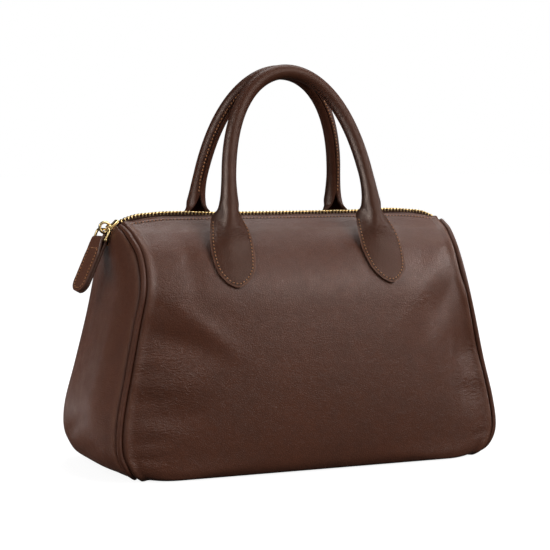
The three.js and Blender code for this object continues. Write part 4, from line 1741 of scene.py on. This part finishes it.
@dataclass(frozen=True)
class Zip:
    """The zip along the bag's top: its tape and its two rows of teeth.

    low, high: the teeth's faces, from the zip's line. narrow_from, narrow_over: where the tape narrows
    towards the end panels' notch. rise_from, rise_over: where its outer side comes up.
    """

    pitch: float = 3.2
    tooth_width: float = 1.3
    tooth_head: float = 1.2
    tooth_rounding: float = 0.32
    tooth_angle: float = 35.0
    spine: float = 3.4
    low: float = -1.2
    high: float = 1.8
    tape: float = 0.8
    tape_columns: int = 15
    narrow_from: float = 128.0
    narrow_over: float = 16.0
    rise_from: float = 140.0
    rise_over: float = 9.0
    slider_x: float = -154.8
    slider_length: float = 13.0
    clearance: float = 0.4
    end_room: float = 6.0
    steps: int = 400

    def line(self) -> np.ndarray:
        """Closely spaced points of the zip's middle line."""
        points = np.array([(x, 0, z) for x, z in ZIP_LINE], float)
        return loft(points[:, None, :], 4 * self.steps)[:, 0]

    def frames(self, distances: np.ndarray) -> tuple[np.ndarray, np.ndarray, np.ndarray]:
        """Finds places along the zip.

        Args:
            distances: How far along they are.

        Returns:
            Their points, directions and upward normals.
        """
        line = self.line()
        along = walk(line)
        ahead = np.gradient(line, axis=0)
        ahead /= np.linalg.norm(ahead, axis=1, keepdims=True)
        points, tangents = (at_distance(distances, along, values) for values in (line, ahead))
        ups = np.stack([-tangents[:, 2], np.zeros(len(tangents)), tangents[:, 0]], axis=1)
        return points, tangents, ups

    def length(self) -> float:
        """The length of the zip's line."""
        return float(walk(self.line())[-1])

    def distance_at(self, x: float) -> float:
        """How far along the zip a place is."""
        line = self.line()
        return float(np.interp(x, line[:, 0], walk(line)))

    def build_tape(self, side: Side) -> bpy.types.Object:
        """Models one side of the tape, tucked under the leather's edge.

        Args:
            side: Its side of the zip.

        Returns:
            The tape.
        """
        points, _, ups = self.frames(np.linspace(0, self.length(), self.steps))
        reach = np.abs(points[:, 0])
        narrow = smooth_step((reach - self.narrow_from) / self.narrow_over)
        rise = smooth_step((reach - self.rise_from) / self.rise_over)
        columns = []
        for row in TAPE_SECTION:
            across = row.across + (row.end_across - row.across) * narrow
            drop = row.drop + (row.end_drop - row.drop) * rise
            columns.append(points + ups * -drop[:, None] + np.outer(across, [0, side.value, 0]))
        section = loft(np.stack(columns), self.tape_columns).transpose(1, 0, 2)
        section = facing(section, (0, 0, 1), self.steps // 2, self.tape_columns // 2)
        name = side.name.lower()
        tape = add_sheet(f"woven_tape_{name}", section)
        tape.data.materials.append(MATERIALS["tape"])
        thicken(tape, self.tape, 0)
        return dress(tape, Body.BAG, Slot.TAPE, f"zip_tape_{name}")

    def tooth(self) -> tuple[np.ndarray, Faces]:
        """Models one tooth of the back row: a block with rounded edges.

        Returns:
            Its points in millimetres along, across and up, and its faces.
        """
        length = self.spine + self.tooth_head
        size = (self.tooth_width, length, self.high - self.low)
        place = (0, self.spine - length / 2, (self.high + self.low) / 2)
        return take_mesh(add_block(size, place, self.tooth_rounding, segments=2))

    def build_teeth(self, side: Side) -> bpy.types.Object:
        """Copies the tooth along one side of the zip.

        Args:
            side: The side.

        Returns:
            The teeth.
        """
        points, faces = self.tooth()
        if side is Side.FRONT:
            points = points * [1, -1, 1]
            faces = [face[::-1] for face in faces]
        start = self.distance_at(self.slider_x) + self.slider_length / 2 + self.clearance
        count = int((self.length() - self.end_room - start) / self.pitch)
        shift = self.pitch / 2 if side is Side.BACK else 0
        frames = self.frames(start + shift + np.arange(count) * self.pitch + self.tooth_width / 2)
        placed = [points @ np.stack([ahead, [0, 1, 0], up]) + origin for origin, ahead, up in zip(*frames)]
        name = side.name.lower()
        teeth = add_copies(f"brass_teeth_{name}", placed, faces)
        teeth.data.materials.append(MATERIALS["brass"])
        bpy.ops.object.shade_smooth_by_angle(angle=math.radians(self.tooth_angle))
        return dress(teeth, Body.BAG, Slot.BRASS, f"zip_teeth_{name}")


@dataclass(frozen=True)
class Slider:
    """The zip's slider, on the slope at its left end.

    turn: its slope, in radians. taper: the share of the plates' width that is lost at the tail. The post
    is between the plates, the lips are under the upper plate's sides and the lugs beside the ring's foot.
    """

    x: float = -154.8
    z: float = 204.2068
    turn: float = -0.78997
    length: float = 13.0
    width: float = 9.4
    plate: float = 1.3
    plate_rounding: float = 0.45
    taper: float = 0.28
    top_face: float = 3.4
    bottom_face: float = -4.6
    post: Point = (3.2, 3.2, 7.0)
    post_place: Point = (-4.1, 0, -0.6)
    lip: Point = (8.6, 1.0, 1.2)
    lip_place: Point = (1.6, 4.1, 1.6)
    block_rounding: float = 0.3
    lug: Point = (3.4, 1.5, 3.2)
    lug_place: Point = (-2.6, 2.4, 4.0)
    lug_rounding: float = 0.5
    ring_radius: float = 4.4
    ring_wire: float = 1.25
    ring_ahead: float = 5.5
    ring_height: float = 6.2

    def build(self) -> bpy.types.Object:
        """Models the plates, their lips, the post and the ring.

        Returns:
            The slider.
        """
        place = Matrix.Translation((self.x * MM, 0, self.z * MM)) @ Matrix.Rotation(self.turn, 4, "Y")
        half = self.plate / 2
        pieces = [
            self.tapered(self.top_face - half),
            self.tapered(self.bottom_face + half),
            add_block(self.post, self.post_place, self.block_rounding),
        ]
        for sign in (-1, 1):
            mirror = np.array([1, sign, 1])
            pieces.append(add_block(self.lip, mirror * self.lip_place, self.block_rounding))
            pieces.append(add_block(self.lug, mirror * self.lug_place, self.lug_rounding))
        deselect()
        bpy.ops.mesh.primitive_torus_add(
            major_radius=self.ring_radius,
            minor_radius=self.ring_wire,
            major_segments=40,
            minor_segments=14,
            location=(-self.ring_ahead, 0, self.ring_height),
            rotation=(math.pi / 2, 0, 0),
        )
        ring = bpy.context.object
        bpy.ops.object.transform_apply()
        slider = join("brass_slider", [*pieces, ring], place)
        slider.data.materials.append(MATERIALS["brass"])
        return dress(slider, Body.BAG, Slot.BRASS, "zip_slider")

    def tapered(self, height: float) -> bpy.types.Object:
        """Models one plate, narrower towards its tail.

        Args:
            height: The height of its middle.

        Returns:
            The plate.
        """
        plate = add_block((self.length, self.width, self.plate), (0, 0, height), self.plate_rounding)
        for vertex in plate.data.vertices:
            tail = max(0, vertex.co.x / (self.length / 2))
            vertex.co.y *= 1 - self.taper * tail**2
        return plate


@dataclass(frozen=True)
class Pull:
    """The zip's pull: a wire link through the slider's ring, and a folded leather tab.

    lean, turn: in degrees. neck: drops below the link's lower bar, and how far out the tab's two layers
    stand there. fold_foot: where they meet the fold, as a share of its radius and a drop. fold_turn: the
    fold's arc, in radians. widening: how far below the bar the tab has its full width. tip: the least
    square of the rounded end's share of that. stitch_bends: drops where the line of stitches bends.
    """

    x: float = -163.8244
    z: float = 203.1938
    lean: float = 27.0
    turn: float = 16.0
    link_half: float = 9.0
    link_length: float = 10.0
    wire: float = 1.1
    wire_sides: int = 3
    corner: float = 2.4
    corner_points: int = 7
    ball: float = 1.55
    ball_inset: float = 0.1
    ball_lift: float = 0.2
    tab_length: float = 48.0
    tab_half: float = 9.4
    tab_top_half: float = 7.0
    rounding: float = 0.4
    layer: float = 2.25
    gap: float = 0.35
    neck: tuple[tuple[float, float], ...] = ((30, 0), (18, 0), (11, 0.15), (6, 0.75))
    fold: float = 2.45
    fold_foot: tuple[float, float] = (0.97, 2)
    fold_turn: tuple[float, float] = (0.35, 2.79)
    fold_points: int = 7
    widening: float = 14.0
    tip: float = 0.002
    edge_wear: float = 0.7
    edge_sharpness: int = 6
    stitch_inset: float = 3.0
    stitch_drop: float = 8.5
    stitch_bends: tuple[float, ...] = (10, 12, 18)
    stitch_turn_points: int = 16
    rows: int = 150
    columns: int = 21

    @property
    def place(self) -> Matrix:
        """The pull's own frame, with its top bar at the origin and its tab along -Z.

        Returns:
            The frame's matrix, in metres.
        """
        turned = Matrix.Rotation(math.radians(self.turn), 4, "Z")
        leaning = Matrix.Rotation(math.radians(self.lean), 4, "Y")
        return Matrix.Translation((self.x * MM, 0, self.z * MM)) @ turned @ leaning

    def build_link(self) -> bpy.types.Object:
        """Models the wire link with rounded corners and balled ends on its lower bar.

        Returns:
            The link.
        """
        inner_y, upper, lower = self.link_half - self.corner, -self.corner, self.corner - self.link_length
        corners = [(inner_y, upper), (-inner_y, upper), (-inner_y, lower), (inner_y, lower)]
        line = [
            (0, y + self.corner * math.cos(turn), z + self.corner * math.sin(turn))
            for quarter, (y, z) in enumerate(corners)
            for turn in quarter * math.pi / 2 + np.linspace(0, math.pi / 2, self.corner_points)
        ]
        pieces = [add_tube("link_wire", np.array(line) / MM, self.wire / MM, self.wire_sides, closed=True)]
        for sign in (-1, 1):
            deselect()
            bpy.ops.mesh.primitive_uv_sphere_add(
                segments=20,
                ring_count=12,
                radius=self.ball,
                location=(0, sign * (self.link_half - self.ball_inset), self.ball_lift - self.link_length),
            )
            bpy.ops.object.transform_apply()
            pieces.append(bpy.context.object)
        link = join("brass_link", pieces, self.place)
        link.data.materials.append(MATERIALS["brass"])
        bpy.ops.object.shade_smooth()
        return dress(link, Body.PULL, Slot.BRASS, "pull_link")

    def strip(self) -> np.ndarray:
        """Lays the folded strip's middle line.

        Returns:
            Its points in the pull's frame, from end to end.
        """
        bar = -self.link_length
        side = (self.layer + self.gap) / 2
        share, drop = self.fold_foot
        half = [(side, bar - self.tab_length)]
        half += [(side + out, bar - below) for below, out in self.neck]
        half += [(self.fold * share, bar - drop)]
        turns = np.linspace(*self.fold_turn, self.fold_points)
        fold = [(self.fold * math.cos(t), bar + self.fold * math.sin(t)) for t in turns]
        points = np.concatenate([half, fold, np.array(half)[::-1] * [-1, 1]])
        flat = np.stack([points[:, 0], np.zeros(len(points)), points[:, 1]], axis=1)
        return loft(flat[:, None, :], self.rows)[:, 0]

    def half_width(self, z: np.ndarray) -> np.ndarray:
        """Measures the tab's width.

        Args:
            z: Heights in the pull's frame.

        Returns:
            Half of the width at each height.
        """
        bar = -self.link_length
        narrow = np.clip((bar - z) / self.widening, 0, 1)
        width = self.tab_top_half + (self.tab_half - self.tab_top_half) * narrow
        from_end = np.clip(z - (bar - self.tab_length), 0, self.tab_half)
        rounded = np.sqrt(np.maximum(1 - (1 - from_end / self.tab_half) ** 2, self.tip))
        return width * rounded

    def build_tab(self) -> bpy.types.Object:
        """Models the folded leather tab.

        Returns:
            The tab.
        """
        line = self.strip()
        share = eased(self.columns)
        points = np.repeat(line[:, None, :], self.columns, axis=1)
        points[..., 1] = self.half_width(line[:, 2])[:, None] * share
        points = facing(points, (0, 0, 1), self.rows // 2, self.columns // 2)
        tab = add_sheet("leather_pull_tab", points)
        # The pull's leather is a lighter copy of the body's, which is painted light.
        give_leather(tab, "pull")
        edge = np.tile(np.abs(share) ** self.edge_sharpness, (self.rows, 1))
        set_attribute(tab, "wear", self.edge_wear * edge)
        thicken(tab, self.layer, self.rounding, offset=0)
        tab.data.transform(self.place)
        return dress(tab, Body.PULL, Slot.HANDLE, "pull_tab")

    def sew(self) -> None:
        """Sews the line round the tab on both faces, with a row across below the fold."""
        bar = -self.link_length
        top = bar - self.stitch_drop
        radius = self.tab_half - self.stitch_inset
        centre = bar - self.tab_length + self.tab_half
        turns = np.linspace(0, math.pi, self.stitch_turn_points)[1:-1]
        down = [(radius, z) for z in (top, *(bar - drop for drop in self.stitch_bends), centre)]
        round_end = [(radius * math.cos(t), centre - radius * math.sin(t)) for t in turns]
        outline = down + round_end + [(-y, z) for y, z in reversed(down)]
        across = [(-radius, top), (radius, top)]
        half = self.strip()[: self.rows // 2]
        rotation = np.array(self.place.to_3x3())
        origin = np.array([self.x, 0, self.z])
        rows = []
        for sign in (-1, 1):
            for path in (outline, across):
                faces = [np.interp(z, half[:, 2], half[:, 0]) + self.layer / 2 for _, z in path]
                local = np.array([(sign * face, y, z) for face, (y, z) in zip(faces, path)])
                normals = np.tile([float(sign), 0, 0], (len(path), 1))
                rows.append((local @ rotation.T + origin, normals @ rotation.T))
        PULL_STITCHES.sew("pull_stitches", rows, Body.PULL)


class Light(Enum):
    """What a lamp gives: all its light, soft light without highlights, or highlights alone."""

    FULL = "full"
    SOFT = "soft"
    SHEEN = "sheen"


@dataclass(frozen=True)
class Softbox:
    """A rectangular lamp that faces the bag, in metres."""

    name: str
    place: Point
    size: tuple[float, float]
    watts: float
    light: Light = Light.FULL
    only: str = ""
    aim: Point = (0, 0, 0.16)

    def build(self) -> None:
        """Adds the lamp, which lights one piece alone where it names one."""
        lamp = bpy.data.lights.new(self.name, "AREA")
        lamp.shape = "RECTANGLE"
        lamp.size, lamp.size_y = self.size
        lamp.energy = self.watts
        holder = bpy.data.objects.new(self.name, lamp)
        holder.location = self.place
        ahead = Vector(self.aim) - holder.location
        holder.rotation_euler = ahead.to_track_quat("-Z", "Y").to_euler()
        holder.visible_camera = False
        holder.visible_diffuse = self.light is not Light.SHEEN
        holder.visible_glossy = self.light is not Light.SOFT
        if self.only:
            lit = bpy.data.collections.new(f"{self.name}_lit")
            lit.objects.link(bpy.data.objects[self.only])
            holder.light_linking.receiver_collection = lit
        bpy.context.scene.collection.objects.link(holder)


HANDLE_SHEEN = {"place": (-1.75, -0.45, 0.7), "size": (0.2, 1.3), "light": Light.SHEEN}
SOFTBOXES = (
    Softbox("key_softbox", (1.2, -1.6, 1.35), (1.7, 1.3), 45),
    Softbox("top_softbox", (0.5, 0.7, 1.8), (1.6, 0.9), 20),
    Softbox("right_softbox", (1.9, 0.1, 0.75), (0.35, 1.3), 9),
    Softbox("left_softbox", (-1.5, -0.9, 1.1), (0.4, 0.9), 10),
    Softbox("side_softbox", (-0.5, 0.1, 0.01), (0.3, 0.2), 1.6, Light.SOFT),
    Softbox("back_softbox", (0.9, 1.6, 1.2), (1.4, 1.0), 22, Light.SOFT, "leather_wrap"),
    Softbox("floor_bounce", (-0.55, 0.7, 0.0), (0.5, 0.12), 0.3, Light.SHEEN, "leather_end_left"),
    Softbox("right_sheen", (1.6, -0.35, 1.25), (0.35, 0.35), 14, Light.SHEEN, "leather_wrap"),
    Softbox("left_sheen", (-0.15, -1.1, 1.9), (0.3, 0.3), 6, Light.SHEEN, "leather_wrap"),
    Softbox("front_handle_sheen", watts=85, only="rolled_handle_front", **HANDLE_SHEEN),
    Softbox("back_handle_sheen", watts=45, only="rolled_handle_back", **HANDLE_SHEEN),
)


@dataclass(frozen=True)
class Studio:
    """The pale floor, the soft light and the camera.

    target, distance: in millimetres. world: the room's light. shade: the floor's brightness at the bag.
    shade_scale: how closely that shade keeps to the bag, along each axis.
    """

    azimuth: float = -23.5
    elevation: float = 4.21
    distance: float = 1489.2
    target: Point = (-7.0, 0.0, 160.0)
    focal_pixels: float = 1694.0
    image_pixels: int = 550
    sensor: float = 36.0
    floor_size: float = 30.0
    floor_drop: float = 0.0005
    floor_colour: Colour = (0.2, 0.2, 0.2, 1)
    world: float = 0.05
    shade: float = 0.86
    shade_scale: Point = (2.2, 3.4, 1.0)

    def build(self) -> None:
        """Sets up the stage."""
        self.floor()
        self.surroundings()
        for softbox in SOFTBOXES:
            softbox.build()
        self.camera()

    def floor(self) -> None:
        """Adds the white floor, which glows softly but for a faint shade round the bag."""
        deselect()
        bpy.ops.mesh.primitive_plane_add(size=self.floor_size, location=(0, 0, -self.floor_drop))
        floor = bpy.context.object
        floor.name = "studio_floor"
        floor.visible_diffuse = floor.visible_glossy = False
        material, tree, shader = new_material("pale_floor")
        scaled = {"Vector": object_place(tree), "Scale": self.shade_scale}
        stretched = {"Vector": add_node(tree, "ShaderNodeMapping", scaled).outputs[0]}
        near = add_node(tree, "ShaderNodeTexGradient", stretched, gradient_type="SPHERICAL")
        grey = (self.shade, self.shade, self.shade, 1)
        glow = mix_colours(tree, near.outputs["Fac"], (1, 1, 1, 1), grey)
        tree.links.new(glow, shader.inputs["Emission Color"])
        shader.inputs["Emission Strength"].default_value = 1.0
        shader.inputs["Base Color"].default_value = self.floor_colour
        shader.inputs["Roughness"].default_value = 1.0
        shader.inputs["Specular IOR Level"].default_value = 0.0
        floor.data.materials.append(material)

    def surroundings(self) -> None:
        """Makes a dim grey room, which the camera sees as white."""
        world = bpy.data.worlds.new("studio")
        bpy.context.scene.world = world
        world.use_nodes = True
        sky = world.node_tree
        camera_ray = add_node(sky, "ShaderNodeLightPath").outputs["Is Camera Ray"]
        strength = remap(sky, camera_ray, 0.0, 1.0, self.world, 1.0)
        back = sky.nodes["Background"]
        back.inputs["Color"].default_value = (1, 1, 1, 1)
        sky.links.new(strength, back.inputs["Strength"])

    def camera(self) -> None:
        """Adds the camera at the photograph's view."""
        turn, rise = math.radians(self.azimuth), math.radians(self.elevation)
        back = Vector((math.sin(turn) * math.cos(rise), -math.cos(turn) * math.cos(rise), math.sin(rise)))
        lens = bpy.data.cameras.new("photo_view")
        lens.sensor_fit = "HORIZONTAL"
        lens.sensor_width = self.sensor
        lens.lens = self.sensor * self.focal_pixels / self.image_pixels
        camera = bpy.data.objects.new("photo_view", lens)
        camera.location = (Vector(self.target) + back * self.distance) * MM
        camera.rotation_mode = "QUATERNION"
        camera.rotation_quaternion = (-back).to_track_quat("-Z", "Y")
        bpy.context.scene.collection.objects.link(camera)
        bpy.context.scene.camera = camera
        bpy.context.scene.view_settings.view_transform = "Standard"


def main() -> None:
    """Builds the bag's pieces in order, and the studio round them."""
    logging.basicConfig(level=logging.INFO, format="%(name)s: %(message)s")
    wrap = BodyWrap()
    wrap.build()
    wrap.sew()
    panels = [EndPanel(end) for end in End]
    for panel in panels:
        panel.build()
    STITCHES.sew("notch_stitches", [panel.stitch_row() for panel in panels], Body.BAG)
    for end in End:
        Piping(end).build()
    for side in Side:
        handle = Handle(side)
        handle.build()
        handle.sew()
    closure = Zip()
    for side in Side:
        closure.build_tape(side)
        closure.build_teeth(side)
    Slider().build()
    pull = Pull()
    pull.build_link()
    pull.build_tab()
    pull.sew()
    Studio().build()


if __name__ == "__main__":
    main()
